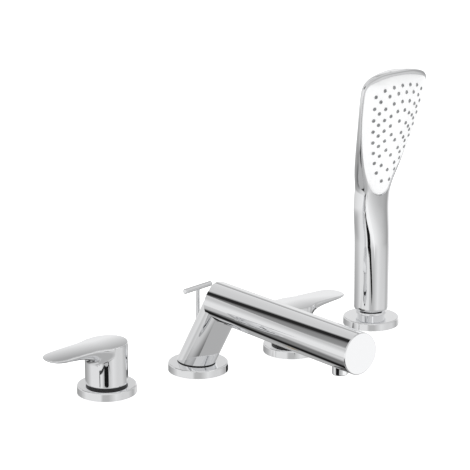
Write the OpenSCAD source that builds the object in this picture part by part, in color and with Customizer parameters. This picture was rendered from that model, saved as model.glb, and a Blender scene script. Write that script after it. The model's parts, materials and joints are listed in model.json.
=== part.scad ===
/* [Row on the bath deck] */
// Hot valve axis along the row, from the spout axis
hot_x = -112; // [-140:1:-105]
// Hot valve axis behind the spout axis
hot_y = 4.6; // [-10:0.1:10]
// Cold valve axis along the row, from the spout axis
cold_x = 114; // [105:1:140]
// Cold valve axis behind the spout axis
cold_y = -15.5; // [-20:0.1:10]
// Hand shower axis along the row, from the spout axis
shower_x = 246; // [235:1:290]
// Hand shower axis behind the spout axis
shower_y = -0.4; // [-10:0.1:10]
// Thickness of the bath deck between gasket and washer
deck_t = 20; // [5:1:28]

/* [Escutcheons and deck fixing] */
// Radius of the two valve escutcheons
valve_esc_r = 30; // [28:0.1:34]
// Radius of the spout escutcheon
spout_esc_r = 31.3; // [29:0.1:34]
// Radius of the hand shower escutcheon
shower_esc_r = 31.2; // [28:0.1:34]
// Height of every escutcheon
esc_h = 8.5; // [6:0.1:10]
// Round on the upper edge of an escutcheon
esc_round = 1.2; // [0.5:0.1:2]
// Radius of the threaded shanks
shank_r = 14; // [13:0.1:15]
// Thickness of the deck gaskets
gasket_t = 2.5; // [1.5:0.1:4]
// Radial width of the deck gaskets
gasket_w = 8; // [5:0.1:10]
// Thickness of the washers under the deck
washer_t = 2; // [1:0.1:4]
// Outer radius of the washers under the deck
washer_r = 24; // [22:0.1:28]
// Height of the nuts under the deck
nut_h = 8; // [6:0.1:12]
// Radius over the corners of the nuts under the deck
nut_r = 21; // [19:0.1:24]

/* [Valve handles] */
// Radius of the handle skirt
skirt_r = 21.7; // [21.3:0.1:25]
// Wall of the handle skirt
skirt_wall = 3; // [2:0.1:4]
// Height of the shadow gap between escutcheon and skirt
skirt_gap = 4; // [3:0.1:6]
// Height of the flat handle top above the deck
handle_top = 53; // [50:0.5:60]
// Thickness of the handle above its hollow
handle_cap_t = 13; // [11:0.5:15]
// Reach of the lever from the valve axis
lever_reach = 73.5; // [65:0.5:90]
// Half width of the lever blade next to the skirt
lever_half = 16.8; // [13:0.1:18]
// Thickness of the lever blade at its tip
lever_tip_t = 1.9; // [1.5:0.1:4]
// Drop of the lever's upper face towards the tip
lever_drop = 2; // [0:0.1:4]
// Radius of the raised collar on a valve's escutcheon
collar_r = 20.7; // [20:0.1:21.2]
// Height of the raised collar
collar_h = 1.7; // [1:0.1:2.2]
// Radius of the dark slip ring between collar and skirt
slip_ring_r = 20.2; // [19:0.1:21.2]
// Turn of both shut levers from the row, in degrees
lever_set = 4; // [-10:1:10]

/* [Valve insides] */
// Wall of the valve shank
shank_wall = 3; // [2.5:0.1:3.5]
// Outer radius of the riser that feeds the cartridge
riser_r = 7; // [6.5:0.1:7.5]
// Wall of the riser
riser_wall = 2; // [1.5:0.1:2.5]
// Radius of the spindle
spindle_r = 5; // [4.5:0.1:5.5]
// Radius of the splined end of the spindle
spline_r = 4.6; // [4:0.1:4.8]
// Thickness of each ceramic disc
disc_t = 4; // [3:0.1:5]
// Radius of the handle boss on the spline
boss_r = 8.5; // [7.5:0.1:9.5]
// Radius of the grub screw
grub_r = 2.5; // [2:0.1:3]
// Radius of the cap over the grub screw
grub_cap_r = 3.2; // [2.8:0.1:4]

/* [Pipe connections] */
// Radius of the half inch threads
thread_r = 10.45; // [10:0.05:11]
// Length of the half inch threads
thread_l = 16; // [12:1:20]
// Radius of the shoulder behind a side thread
port_shoulder_r = 11.8; // [11.3:0.1:12.4]
// Radius of the waterways in the connections
waterway_r = 6; // [5:0.1:7]
// Radius of the valve bodies under the deck
valve_block_r = 18; // [16.5:0.1:20]
// Height of the valve bodies under the deck
valve_block_h = 24; // [23:1:30]
// Level of the shoulder where shank and body meet, below the deck
block_drop = 46; // [44:1:60]

/* [Spout] */
// Radius of the level spout tube
tube_r = 20.1; // [19.5:0.1:22]
// Wall of the spout tube
tube_wall = 2.5; // [2:0.1:3.5]
// Level of the spout tube axis above the deck
tube_z = 82; // [78:0.5:90]
// Distance of the rear end of the tube from the spout axis
tube_back = 36; // [32:0.5:38]
// Radius of the leaning column
column_r = 18.8; // [18.2:0.1:19.4]
// Wall of the leaning column
column_wall = 2.8; // [2:0.1:3.5]
// Lean of the column towards the bath, in degrees
column_lean = 32; // [30:0.5:34]
// Offset of the column foot behind the spout axis
column_y = 3.5; // [2:0.1:4.5]
// Thickness of the seal under the column foot
foot_seal_t = 1; // [0.6:0.1:1.6]
// Rise of the domed end cap
cap_dome = 2.4; // [2:0.1:4]
// Rounding of the end cap's edge
cap_edge = 1.2; // [0.6:0.1:1.8]
// Distance of the outlet from the spout axis
outlet_reach = 216.5; // [195:0.5:225]
// Length of the tube past the outlet axis
tube_past = 26.5; // [24:0.5:45]
// Radius of the outlet housing
outlet_r = 7.6; // [7.2:0.1:9]
// Level of the outlet's lower edge above the deck
outlet_z = 55; // [48:0.5:57]

/* [Diverter] */
// Radius of the pull rod
rod_r = 2.1; // [1.8:0.1:2.8]
// Level of the cross bar axis with the rod down
bar_z = 88.5; // [84:0.5:96]
// Radius of the cross bar
bar_r = 2.7; // [2.5:0.1:4]
// Length of the cross bar
bar_l = 40; // [30:1:44]
// Turn of the cross bar from the row, in degrees
bar_turn = 10; // [-30:1:30]
// Radius of the diverter chamber
chamber_r = 12.5; // [12:0.1:13]
// Height of the diverter chamber
chamber_h = 32; // [30:1:40]
// Turns of the return spring
spring_turns = 5; // [4:1:7]
// Radius of the spring wire
spring_wire_r = 0.7; // [0.5:0.05:0.8]

/* [Hand shower] */
// Radius of the hand shower's handle
grip_r = 18.3; // [17.5:0.1:19]
// Level of the handle's lower end above the deck
grip_z = 17.6; // [17:0.1:20]
// Level of the lower tip of the spray face
tip_z = 151; // [145:1:158]
// Distance of the face tip in front of the handle axis
tip_d = 5.2; // [4.8:0.1:6.2]
// Tilt of the spray face towards the bath, in degrees
face_tilt = 10.9; // [9:0.1:12.5]
// Turn of the hand shower in its holder, in degrees
face_turn = 6; // [-20:1:20]
// Height of the spray face, from its tip to its crown
face_h = 137.3; // [132:0.1:142]
// Half width of the spray face
face_half = 50.4; // [48:0.1:52]
// Radius of the spray face tip
face_tip_r = 20; // [18:0.1:22]
// Radius of the spray face's upper corners
face_corner_r = 9; // [7:0.1:12]
// Radius of the arched upper edge of the spray face
face_arch_r = 163; // [140:1:220]
// Radius of the bowed sides of the spray face
face_side_r = 240; // [220:5:320]
// Rise of the domed spray face over its rim
face_rise = 12.4; // [9:0.1:14]
// Depth of the head behind the plane of its face, at the crown
crown_depth = 13; // [12:0.1:15]
// Width of the chrome rim round the spray face
rim_w = 1.6; // [1.3:0.1:2.2]
// Height of the chrome rim over the spray face
rim_proud = 0.7; // [0.3:0.1:1]
// Thickness of the spray face
face_t = 3; // [2.5:0.1:3.5]
// Thickness of the nozzle mat
mat_t = 1.2; // [0.8:0.1:1.6]
// Depth of the water chamber behind the mat
head_chamber_t = 3; // [2:0.1:3.5]
// Radius of a spray nozzle
nozzle_r = 1.9; // [1.6:0.1:2.1]
// Height of a spray nozzle over the face
nozzle_proud = 0.9; // [0.4:0.1:1.5]

/* [Shower holder] */
// Radius of the holder collar's neck
holder_neck_r = 15.4; // [15.2:0.1:16.5]
// Radius of the holder collar's lip
holder_lip_r = 17.2; // [16.6:0.1:18]
// Height of the holder collar
holder_h = 7.1; // [6.5:0.1:8]
// Height of the lip on the holder collar
holder_lip_h = 3.2; // [2.5:0.1:4]
// Radius of the hose nut
hose_nut_r = 11.6; // [11.4:0.1:12]
// Depth of the hose nut below the deck
hose_nut_drop = 14; // [10:1:20]
// Radius of the tail for the hose
hose_tail_r = 6.5; // [6:0.1:7]
// Length of the tail below the holder sleeve
hose_tail_l = 16; // [12:1:20]
// Depth of the holder sleeve below the deck
sleeve_drop = 50; // [42:1:60]

/* [Hidden] */
$fn = 96;
// Gap between fixed round pieces
fit_gap = 0.1;
// Running gap round a shaft
run_gap = 0.05;
// Gap between faces that move apart
face_gap = 0.3;
// Overcut of a boolean
over = 1;

// Vertical stack of a valve
skirt_z = esc_h + skirt_gap;
slip_ring_top = skirt_z - face_gap;
handle_hollow_top = handle_top - handle_cap_t;
shank_bore = shank_r - shank_wall;
valve_shank_top = esc_h + 5.5;
riser_top = -10;
seal_t = 4;
disc_z = riser_top + seal_t;
disc_r = shank_bore - 2.7;
cartridge_wall_r = shank_bore - fit_gap;
cartridge_bore = disc_r + fit_gap;
hex_h = 5;
hex_r = 12.8;
neck_h = 7;
neck_r = spindle_r + 3;
cartridge_hex_z = valve_shank_top;
cartridge_neck_z = cartridge_hex_z + hex_h;
cartridge_top = cartridge_neck_z + neck_h;
spindle_flange_t = 4;
spindle_flange_z = disc_z + 2 * disc_t;
cartridge_roof = spindle_flange_z + spindle_flange_t + face_gap;
boss_z = cartridge_top + 1.5;
spline_top = handle_hollow_top - 1.5;
grub_z = (boss_z + spline_top) / 2;
grub_l = 8;
grub_cap_l = skirt_wall;

// Blocks under the deck
valve_floor = -(block_drop + valve_block_h);
block_wall = 5;
outlet_port_z = -(block_drop + valve_block_h / 2);
port_root = 3;
port_shoulder_l = 2;
washer_z = -deck_t - washer_t;
nut_z = washer_z - nut_h;

// Lever stations along its reach, each as a share of the run from root to tip
lever_root = 6;
lever_steps = 26;
lever_sides = 20;
lever_round = 17;

// Spout
tube_front = outlet_reach + tube_past;
tube_bore = tube_r - tube_wall;
column_bore = column_r - column_wall;
foot_z = esc_h + foot_seal_t;
foot_plate_t = 4.5;
spout_shank_top = foot_z + foot_plate_t - 1.5;
spout_shank_bore = 8;
diverter_top = -block_drop;
socket_l = 16;
spout_shank_z = diverter_top - socket_l;
chamber_floor = spout_shank_z - chamber_h;
diverter_block_r = 19;
diverter_floor = chamber_floor - block_wall;
side_port_z = chamber_floor + chamber_h / 2;
bush_r = rod_r + 1.8;
bush_l = 15;
stud_r = 1.5;
piston_t = 5;
piston_r = chamber_r - 2;
piston_seal_t = 2;
piston_seal_z = chamber_floor + fit_gap;
piston_z = piston_seal_z + piston_seal_t;
piston_top = piston_z + piston_t;
spring_r = 8;
spring_z = piston_top + 0.3;
spring_l = spout_shank_z - 0.3 - spring_z;
spring_rings = 12;
spring_sides = 6;
insert_wall = 1.8;
insert_t = 6;
insert_z = outlet_z + 0.8;
outlet_seal_t = 1.5;
spigot_r = outlet_r - 1;
spigot_top = tube_z - tube_bore + 4;
cap_spigot_l = 8;
cap_lip = 1.5;

// Hand shower
sleeve_bore = hose_nut_r + 0.4;
sleeve_top = esc_h + holder_h - holder_lip_h;
holder_top = esc_h + holder_h;
hose_flange_z = holder_top + face_gap;
hose_flange_r = hose_nut_r + 1.8;
hose_flange_top = grip_z - face_gap;
inlet_z = 6;
hose_seal_t = 3;
hose_bore = 4.5;
hose_tail_top = -sleeve_drop - 2;
inlet_flange_r = grip_r - 5.8;
inlet_top = grip_z + 18;
inlet_bore = 5.5;
water_tube_r = 7;
grip_hollow_top = tip_z - 0.335 * face_h;
passage_r = 4;
passage_y = 4.5;
passage_z = tip_z + 0.146 * face_h;
port_r = 3;
check_l = 10;
check_z = grip_z + 4;
recess_t = face_t + mat_t + head_chamber_t;
chamber_inset = 4;
face_clear = 0.15;
rim_edge = 2;
crown_rise = 4.2;
crown_round = 4;
blend_start = tip_z - 0.4 * face_h;
blend_end = tip_z + 0.073 * face_h;
full_z = tip_z + 0.146 * face_h;
grip_sides = 36;
crown_z = tip_z + (face_h + rim_w + crown_rise) * cos(face_tilt);
pillow_steps = 22;
pillow_sides = 12;

// Cubic through two keys [place, value, slope]
function cubic(k0, k1, x) =
  let (w = k1[0] - k0[0], t = (x - k0[0]) / w)
  (2 * t * t * t - 3 * t * t + 1) * k0[1] + (t * t * t - 2 * t * t + t) * w * k0[2]
  + (3 * t * t - 2 * t * t * t) * k1[1] + (t * t * t - t * t) * w * k1[2];
function through(keys, x, i = 0) =
  x <= keys[0][0] ? keys[0][1]
  : i == len(keys) - 1 ? keys[i][1]
  : x <= keys[i + 1][0] ? cubic(keys[i], keys[i + 1], x)
  : through(keys, x, i + 1);
function soft_max(a, b, e) = (a + b + sqrt((a - b) * (a - b) + e * e)) / 2;
function signed_power(c, p) = sign(c) * pow(abs(c), p);

// Skin over a stack of closed rings, with flat ends; crossed splits its squares the other way
module loft(rings, crossed = false) {
  m = len(rings[0]);
  n = len(rings);
  points = [for (ring = rings) each ring];
  walls = [
    for (i = [0 : n - 2], j = [0 : m - 1])
      let (a = i * m + j, b = i * m + (j + 1) % m)
        each crossed ? [[a, a + m, b], [a + m, b + m, b]] : [[a, a + m, b + m], [a, b + m, b]]
  ];
  first = [[for (j = [0 : m - 1]) j]];
  last = [[for (j = [m - 1 : -1 : 0]) (n - 1) * m + j]];
  polyhedron(points, concat(walls, first, last));
}

module ring(r_out, r_in, z0, z1) {
  translate([0, 0, z0])
    linear_extrude(z1 - z0)
      difference() {
        circle(r_out);
        circle(r_in);
      }
}

module rod(r, z0, z1) {
  translate([0, 0, z0])
    cylinder(r = r, h = z1 - z0);
}

// Lies along the direction from the axis that its turn names
module side_rod(r, from, to, z, turn) {
  rotate(turn)
    translate([from, 0, z])
      rotate([0, 90, 0])
        cylinder(r = r, h = to - from);
}

module at_hot() { translate([hot_x, hot_y, 0]) rotate(180) children(); }
module at_cold() { translate([cold_x, cold_y, 0]) children(); }
module at_shower() { translate([shower_x, shower_y, 0]) rotate(face_turn) children(); }
module at_units() {
  at_hot() children();
  at_cold() children();
  children();
  at_shower() children();
}

// Pieces of the deck fixing
module escutcheon(r) {
  bore = shank_r + face_gap;
  rotate_extrude()
    difference() {
      union() {
        translate([bore, 0])
          square([r - bore - esc_round, esc_h]);
        translate([bore, 0])
          square([r - bore, esc_h - esc_round]);
        translate([r - esc_round, esc_h - esc_round])
          circle(esc_round);
      }
      translate([gasket_in - fit_gap, -over])
        square([gasket_w + 2 * fit_gap, gasket_t + over]);
    }
}
gasket_in = shank_r + 3.3;

module deck_gaskets() {
  color("#2b2b2d")
    at_units()
      ring(gasket_in + gasket_w, gasket_in, 0, gasket_t);
}

module deck_washers() {
  color("#b9bcbf")
    at_units()
      ring(washer_r, shank_r + face_gap, washer_z, washer_z + washer_t);
}

module deck_nuts() {
  color("#c9a75a")
    at_units()
      difference() {
        translate([0, 0, nut_z])
          cylinder(r = nut_r, h = nut_h, $fn = 6);
        rod(shank_r + fit_gap, nut_z - over, nut_z + nut_h + over);
      }
}

// Lever blade, from the valve axis towards +X
function lever_x(i) =
  let (t = i / lever_steps)
    lever_root + (lever_reach - lever_root - 0.05) * (1 - pow(1 - t, 1.6));
function lever_width(x) =
  let (
    flare = (skirt_r - lever_half - 1.4) * exp(-pow((x - 8) / 9, 2)),
    straight = lever_half - (x - skirt_r) * 0.035 + flare,
    past = max(0, (x - lever_reach + lever_round) / lever_round)
  )
    straight * pow(1 - pow(past, 2.6), 1 / 2.6);
function lever_thick(x) =
  let (d = lever_reach - x)
    lever_tip_t + 0.12 * d + 3.2 * (1 - exp(-d / 9)) + 7 * exp(-max(0, x - skirt_r + 2.4) / 6);
function lever_level(x) =
  let (start = skirt_r / 2)
    handle_top - lever_drop * pow(max(0, x - start) / (lever_reach - start), 2);
function lever_ring(x) =
  let (
    w = lever_width(x),
    h = lever_thick(x) * (0.35 + 0.65 * min(1, w / 8)),
    z = lever_level(x),
    edge = min(0.9, h / 2),
    brim = 0.25
  )
  concat(
    [[x, w - brim, z], [x, brim - w, z]],
    [for (i = [0 : lever_sides - 1])
      let (t = 180 * i / (lever_sides - 1))
        [x, -w * signed_power(cos(t), 0.52), z - edge - (h - edge) * pow(sin(t), 0.52)]]
  );

module lever_blade() {
  loft([for (i = [0 : lever_steps]) lever_ring(lever_x(i))]);
}

module at_lever() { rotate(lever_set) children(); }

module handle() {
  color("#d9dcdf")
    difference() {
      union() {
        rod(skirt_r, skirt_z, handle_top);
        lever_blade();
      }
      difference() {
        rod(skirt_r - skirt_wall, skirt_z - over, handle_hollow_top);
        rod(boss_r, boss_z, handle_hollow_top + over);
      }
      rod(spline_r + run_gap, boss_z - over, spline_top + face_gap);
      side_rod(grub_r + run_gap, spline_r, boss_r + over, grub_z, 180);
      side_rod(grub_cap_r + fit_gap, skirt_r - skirt_wall - over, skirt_r + over, grub_z, 180);
    }
}

module grub_screw() {
  color("#8d9094")
    difference() {
      side_rod(grub_r, spline_r + run_gap, spline_r + run_gap + grub_l, grub_z, 180);
      rotate(180)
        translate([spline_r + grub_l - 2, 0, grub_z])
          rotate([0, 90, 0])
            cylinder(r = grub_r / 2, h = 2 + over, $fn = 6);
    }
}

module screw_cap() {
  color("#d9dcdf")
    intersection() {
      side_rod(grub_cap_r, skirt_r - grub_cap_l, skirt_r + over, grub_z, 180);
      rod(skirt_r, skirt_z, handle_top);
    }
}

module spindle() {
  color("#c9a75a")
    union() {
      rod(disc_r - run_gap, spindle_flange_z, spindle_flange_z + spindle_flange_t);
      rod(spindle_r, spindle_flange_z + spindle_flange_t - 0.5, cartridge_top + 0.5);
      rod(spline_r, cartridge_top, spline_top);
    }
}

// Each ceramic disc has two windows
module ceramic_disc(z, r) {
  color("#f1efe8")
    difference() {
      rod(r, z, z + disc_t);
      for (side = [0, 180])
        rotate(side)
          translate([disc_r / 2, 0, z - over])
            cylinder(r = disc_r / 4, h = disc_t + 2 * over);
    }
}

module cartridge() {
  color("#c9a75a")
    difference() {
      union() {
        rod(cartridge_wall_r, disc_z, cartridge_hex_z + over / 2);
        translate([0, 0, cartridge_hex_z])
          cylinder(r = hex_r, h = hex_h, $fn = 6);
        rod(neck_r, cartridge_neck_z - over / 2, cartridge_top);
      }
      rod(cartridge_bore, disc_z - over, cartridge_roof);
      rod(spindle_r + run_gap, cartridge_roof - over, cartridge_top + over);
      for (turn = [0, 90, 180, 270])
        side_rod(1.6, cartridge_bore - over, cartridge_wall_r + over, disc_z + 1.5 * disc_t, turn);
    }
}

module cartridge_seal() {
  color("#2b2b2d")
    ring(disc_r, riser_r - riser_wall, riser_top, disc_z);
}

// Thread with its shoulder on the side of a round block
function port_end(block_r) = block_r + port_shoulder_l + thread_l;
module side_port(block_r, z, turn) {
  side_rod(port_shoulder_r, block_r - port_root - over, block_r + port_shoulder_l, z, turn);
  side_rod(thread_r, block_r, port_end(block_r), z, turn);
}

// Inlet downwards, outlet towards the side that its turn names
module valve_body(outlet_turn) {
  color("#c9a75a")
    difference() {
      union() {
        rod(shank_r, -block_drop - over, valve_shank_top);
        rod(valve_block_r, valve_floor, -block_drop);
        rod(thread_r, valve_floor - thread_l, valve_floor + over);
        side_port(valve_block_r, outlet_port_z, outlet_turn);
      }
      difference() {
        rod(shank_bore, valve_floor + block_wall, valve_shank_top + over);
        rod(riser_r, valve_floor, riser_top);
      }
      rod(riser_r - riser_wall, valve_floor - thread_l - over, riser_top + over);
      side_rod(waterway_r, riser_r + riser_wall, port_end(valve_block_r) + over, outlet_port_z,
        outlet_turn);
    }
}

module valve_slip_ring() {
  color("#202022")
    ring(slip_ring_r, shank_r + fit_gap, esc_h + collar_h, slip_ring_top);
}

module valve_escutcheon() {
  color("#d9dcdf")
    union() {
      escutcheon(valve_esc_r);
      ring(collar_r, shank_r + face_gap, esc_h - over, esc_h + collar_h);
    }
}

// Hot valve, with its lever towards the outside
module hot_handle() { at_hot() at_lever() handle(); }
module hot_grub_screw() { at_hot() at_lever() grub_screw(); }
module hot_screw_cap() { at_hot() at_lever() screw_cap(); }
module hot_spindle() { at_hot() spindle(); }
module hot_upper_disc() { at_hot() ceramic_disc(disc_z + disc_t, disc_r - run_gap); }
module hot_lower_disc() { at_hot() ceramic_disc(disc_z, disc_r); }
module hot_cartridge() { at_hot() cartridge(); }
module hot_cartridge_seal() { at_hot() cartridge_seal(); }
module hot_valve_body() { at_hot() valve_body(-90); }
module hot_slip_ring() { at_hot() valve_slip_ring(); }
module hot_escutcheon() { at_hot() valve_escutcheon(); }

// Cold valve, with its lever towards the outside
module cold_handle() { at_cold() at_lever() handle(); }
module cold_grub_screw() { at_cold() at_lever() grub_screw(); }
module cold_screw_cap() { at_cold() at_lever() screw_cap(); }
module cold_spindle() { at_cold() spindle(); }
module cold_upper_disc() { at_cold() ceramic_disc(disc_z + disc_t, disc_r - run_gap); }
module cold_lower_disc() { at_cold() ceramic_disc(disc_z, disc_r); }
module cold_cartridge() { at_cold() cartridge(); }
module cold_cartridge_seal() { at_cold() cartridge_seal(); }
module cold_valve_body() { at_cold() valve_body(90); }
module cold_slip_ring() { at_cold() valve_slip_ring(); }
module cold_escutcheon() { at_cold() valve_escutcheon(); }

// Spout tube along -Y and column leaning the same way
module level_rod(r, from, to) {
  translate([0, -from, tube_z])
    rotate([90, 0, 0])
      cylinder(r = r, h = to - from);
}

module leaning_rod(r, from, to) {
  translate([0, column_y, esc_h])
    rotate([column_lean, 0, 0])
      rod(r, from, to);
}

column_l = (tube_z - esc_h) / cos(column_lean);
room = 2 * tube_front;

module column_outside(r) {
  intersection() {
    leaning_rod(r, -column_l, 3 * column_l);
    union() {
      translate([-room / 2, -room / 2, foot_z])
        cube([room, room, tube_z - foot_z]);
      level_rod(tube_r, -tube_front, tube_front);
    }
  }
}

module spout_body() {
  color("#d9dcdf")
    difference() {
      union() {
        level_rod(tube_r, tube_back, tube_front);
        column_outside(column_r);
      }
      level_rod(tube_bore, tube_back + tube_wall, tube_front + over);
      intersection() {
        leaning_rod(column_bore, -column_l, column_l);
        translate([-room / 2, -room / 2, foot_z + foot_plate_t])
          cube([room, room, room]);
      }
      rod(shank_r + fit_gap, foot_z - over, spout_shank_top);
      rod(spout_shank_bore, foot_z, foot_z + foot_plate_t + over);
      rod(bush_r + fit_gap, foot_z + foot_plate_t + over, bar_z);
      translate([0, -outlet_reach, 0])
        rod(spigot_r + fit_gap, outlet_z, tube_z);
    }
}

module spout_end_cap() {
  color("#d9dcdf")
    translate([0, -tube_front, tube_z])
      rotate([90, 0, 0])
        difference() {
          union() {
            rod(tube_bore - fit_gap, -cap_spigot_l, over / 2);
            rotate_extrude()
              cap_profile();
          }
          rod(tube_bore - 3, -cap_spigot_l - over, -cap_lip);
        }
}

// Half outline of the cap: a dome that runs into the rounded edge
module cap_profile() {
  edge_x = tube_r - cap_edge;
  dome_r = (pow(edge_x, 2) + pow(cap_dome, 2) - pow(cap_edge, 2)) / (2 * (cap_dome - cap_edge));
  meet = edge_x * (1 + cap_edge / (dome_r - cap_edge));
  intersection() {
    square([tube_r + over, cap_dome + over]);
    union() {
      translate([edge_x, 0])
        circle(cap_edge);
      intersection() {
        square([meet, cap_dome + over]);
        translate([0, cap_dome - dome_r])
          circle(dome_r, $fn = 360);
      }
    }
  }
}

module spout_foot_seal() {
  color("#2b2b2d")
    difference() {
      intersection() {
        leaning_rod(column_r - 0.5, -column_l, column_l);
        translate([-room / 2, -room / 2, esc_h])
          cube([room, room, foot_seal_t]);
      }
      rod(shank_r + fit_gap, 0, foot_z + over);
    }
}

module spout_escutcheon() {
  color("#d9dcdf")
    escutcheon(spout_esc_r);
}

module spout_shank() {
  color("#c9a75a")
    ring(shank_r, spout_shank_bore, spout_shank_z, spout_shank_top);
}

module at_outlet() { translate([0, -outlet_reach, 0]) children(); }

module outlet_housing() {
  color("#d9dcdf")
    difference() {
      union() {
        difference() {
          at_outlet()
            rotate_extrude()
              outlet_profile();
          level_rod(tube_r + run_gap, 0, tube_front + over);
        }
        at_outlet()
          rod(spigot_r, tube_z - tube_r - over, spigot_top);
      }
      at_outlet()
        rod(outlet_r - insert_wall, outlet_z - over, spigot_top + over);
    }
}

// Half outline of the outlet housing, with a rounded lower edge
module outlet_profile() {
  edge = 1.2;
  translate([0, outlet_z])
    square([outlet_r - edge, tube_z - tube_bore - outlet_z]);
  translate([0, outlet_z + edge])
    square([outlet_r, tube_z - tube_bore - outlet_z - edge]);
  translate([outlet_r - edge, outlet_z + edge])
    circle(edge);
}

// Grid of the flow straightener
module outlet_insert() {
  hole = 0.7;
  step = 2.1;
  insert_r = outlet_r - insert_wall - fit_gap;
  color("#e8e8e4")
    at_outlet()
      difference() {
        rod(insert_r, insert_z, insert_z + insert_t);
        for (i = [-2 : 2], j = [-2 : 2])
          if (norm([i, j]) * step + hole < insert_r - 0.6)
            translate([i * step, j * step, insert_z - over])
              cylinder(r = hole, h = insert_t + 2 * over);
      }
}

module outlet_seal() {
  color("#2b2b2d")
    at_outlet()
      ring(outlet_r - insert_wall - fit_gap, outlet_r - insert_wall - 2.2,
        insert_z + insert_t, insert_z + insert_t + outlet_seal_t);
}

// Two side ports from the valves, turned half backwards, and one port down to the hand shower
diverter_turns = [45, 135];
module diverter_body() {
  color("#c9a75a")
    difference() {
      union() {
        rod(diverter_block_r, diverter_floor, diverter_top);
        for (turn = diverter_turns)
          side_port(diverter_block_r, side_port_z, turn);
        rod(thread_r, diverter_floor - thread_l, diverter_floor + over);
      }
      rod(shank_r + fit_gap, spout_shank_z, diverter_top + over);
      rod(chamber_r, chamber_floor, spout_shank_z + over);
      rod(waterway_r, diverter_floor - thread_l - over, chamber_floor + over);
      for (turn = diverter_turns)
        side_rod(waterway_r, chamber_r - over, port_end(diverter_block_r) + over, side_port_z, turn);
    }
}

module diverter_rod() {
  color("#d9dcdf")
    union() {
      rod(stud_r, piston_seal_z, piston_top + over);
      rod(rod_r, piston_top, bar_z - bar_r);
      rod(stud_r, bar_z - bar_r - over, bar_z + 1);
    }
}

module diverter_bar() {
  color("#d9dcdf")
    difference() {
      rotate(bar_turn)
        translate([-bar_l / 2, 0, bar_z])
          rotate([0, 90, 0])
            rotate_extrude()
              bar_profile();
      rod(stud_r + run_gap, bar_z - bar_r - over, bar_z + 1 + fit_gap);
      rod(rod_r + run_gap, bar_z - bar_r - over, bar_z - bar_r + run_gap);
    }
}

// Half outline of the cross bar, with rounded ends
module bar_profile() {
  edge = 0.8;
  square([bar_r - edge, bar_l]);
  translate([0, edge])
    square([bar_r, bar_l - 2 * edge]);
  for (end = [edge, bar_l - edge])
    translate([bar_r - edge, end])
      intersection() {
        circle(edge);
        translate([0, -edge])
          square([edge, 2 * edge]);
      }
}

module diverter_bush() {
  bush_z = foot_z + foot_plate_t + 18;
  color("#8d9094")
    intersection() {
      ring(bush_r, rod_r + run_gap, bush_z, bush_z + 2 * bush_l);
      column_outside(column_r);
    }
}

module diverter_piston() {
  color("#c9a75a")
    ring(piston_r, stud_r + run_gap, piston_z, piston_top);
}

module diverter_seal() {
  color("#2b2b2d")
    ring(piston_r, stud_r + run_gap, piston_seal_z, piston_z);
}

// Return spring between the piston and the shank
module diverter_spring() {
  steps = spring_turns * spring_rings;
  rise = spring_l - 2 * spring_wire_r;
  color("#b9bcbf")
    loft([
      for (i = [0 : steps])
        let (turn = 360 * i / spring_rings, z = spring_z + spring_wire_r + rise * i / steps)
          [for (j = [0 : spring_sides - 1])
            let (t = -360 * j / spring_sides, r = spring_r + spring_wire_r * cos(t))
              [r * cos(turn), r * sin(turn), z + spring_wire_r * sin(t)]]
    ]);
}

// Holder of the hand shower
module holder_escutcheon() {
  color("#d9dcdf")
    at_shower()
      escutcheon(shower_esc_r);
}

module holder_collar() {
  edge = 0.8;
  color("#d9dcdf")
    at_shower()
      difference() {
        rotate_extrude()
          union() {
            translate([0, esc_h])
              square([holder_neck_r, holder_h - edge]);
            translate([0, sleeve_top + edge])
              square([holder_lip_r, holder_lip_h - 2 * edge]);
            translate([0, sleeve_top])
              square([holder_lip_r - edge, holder_lip_h]);
            for (z = [sleeve_top + edge, holder_top - edge])
              translate([holder_lip_r - edge, z])
                circle(edge);
          }
        rod(shank_r + fit_gap, esc_h - over, sleeve_top);
        rod(sleeve_bore, esc_h, holder_top + over);
      }
}

module holder_sleeve() {
  color("#c9a75a")
    at_shower()
      ring(shank_r, sleeve_bore, -sleeve_drop, sleeve_top);
}

module hose_nut() {
  color("#d9dcdf")
    at_shower()
      difference() {
        union() {
          rod(hose_nut_r, -hose_nut_drop, hose_flange_z + over / 2);
          rod(hose_tail_r, hose_tail_top - hose_tail_l, hose_tail_top);
          rod(hose_tail_r - 0.5, hose_tail_top - over, over - hose_nut_drop);
          rod(hose_flange_r, hose_flange_z, hose_flange_top);
        }
        rod(thread_r + run_gap, inlet_z - hose_seal_t, hose_flange_top + over);
        rod(hose_bore, hose_tail_top - hose_tail_l - over, inlet_z);
      }
}

module hose_seal() {
  color("#2b2b2d")
    at_shower()
      ring(thread_r - fit_gap, inlet_bore, inlet_z - hose_seal_t, inlet_z);
}

// Screws into the hose nut and turns in it
module shower_inlet() {
  color("#e8e8e4")
    at_shower()
      difference() {
        union() {
          rod(thread_r, inlet_z + fit_gap, grip_z + over);
          rod(inlet_flange_r, grip_z, inlet_top);
        }
        rod(inlet_bore, inlet_z, inlet_top + over);
      }
}

module check_valve() {
  color("#3f6fa8")
    at_shower()
      ring(inlet_bore - run_gap, inlet_bore - 2.5, check_z, check_z + check_l);
}

module water_tube() {
  color("#e8e8e4")
    at_shower()
      ring(water_tube_r, inlet_bore, inlet_top, grip_hollow_top);
}

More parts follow.
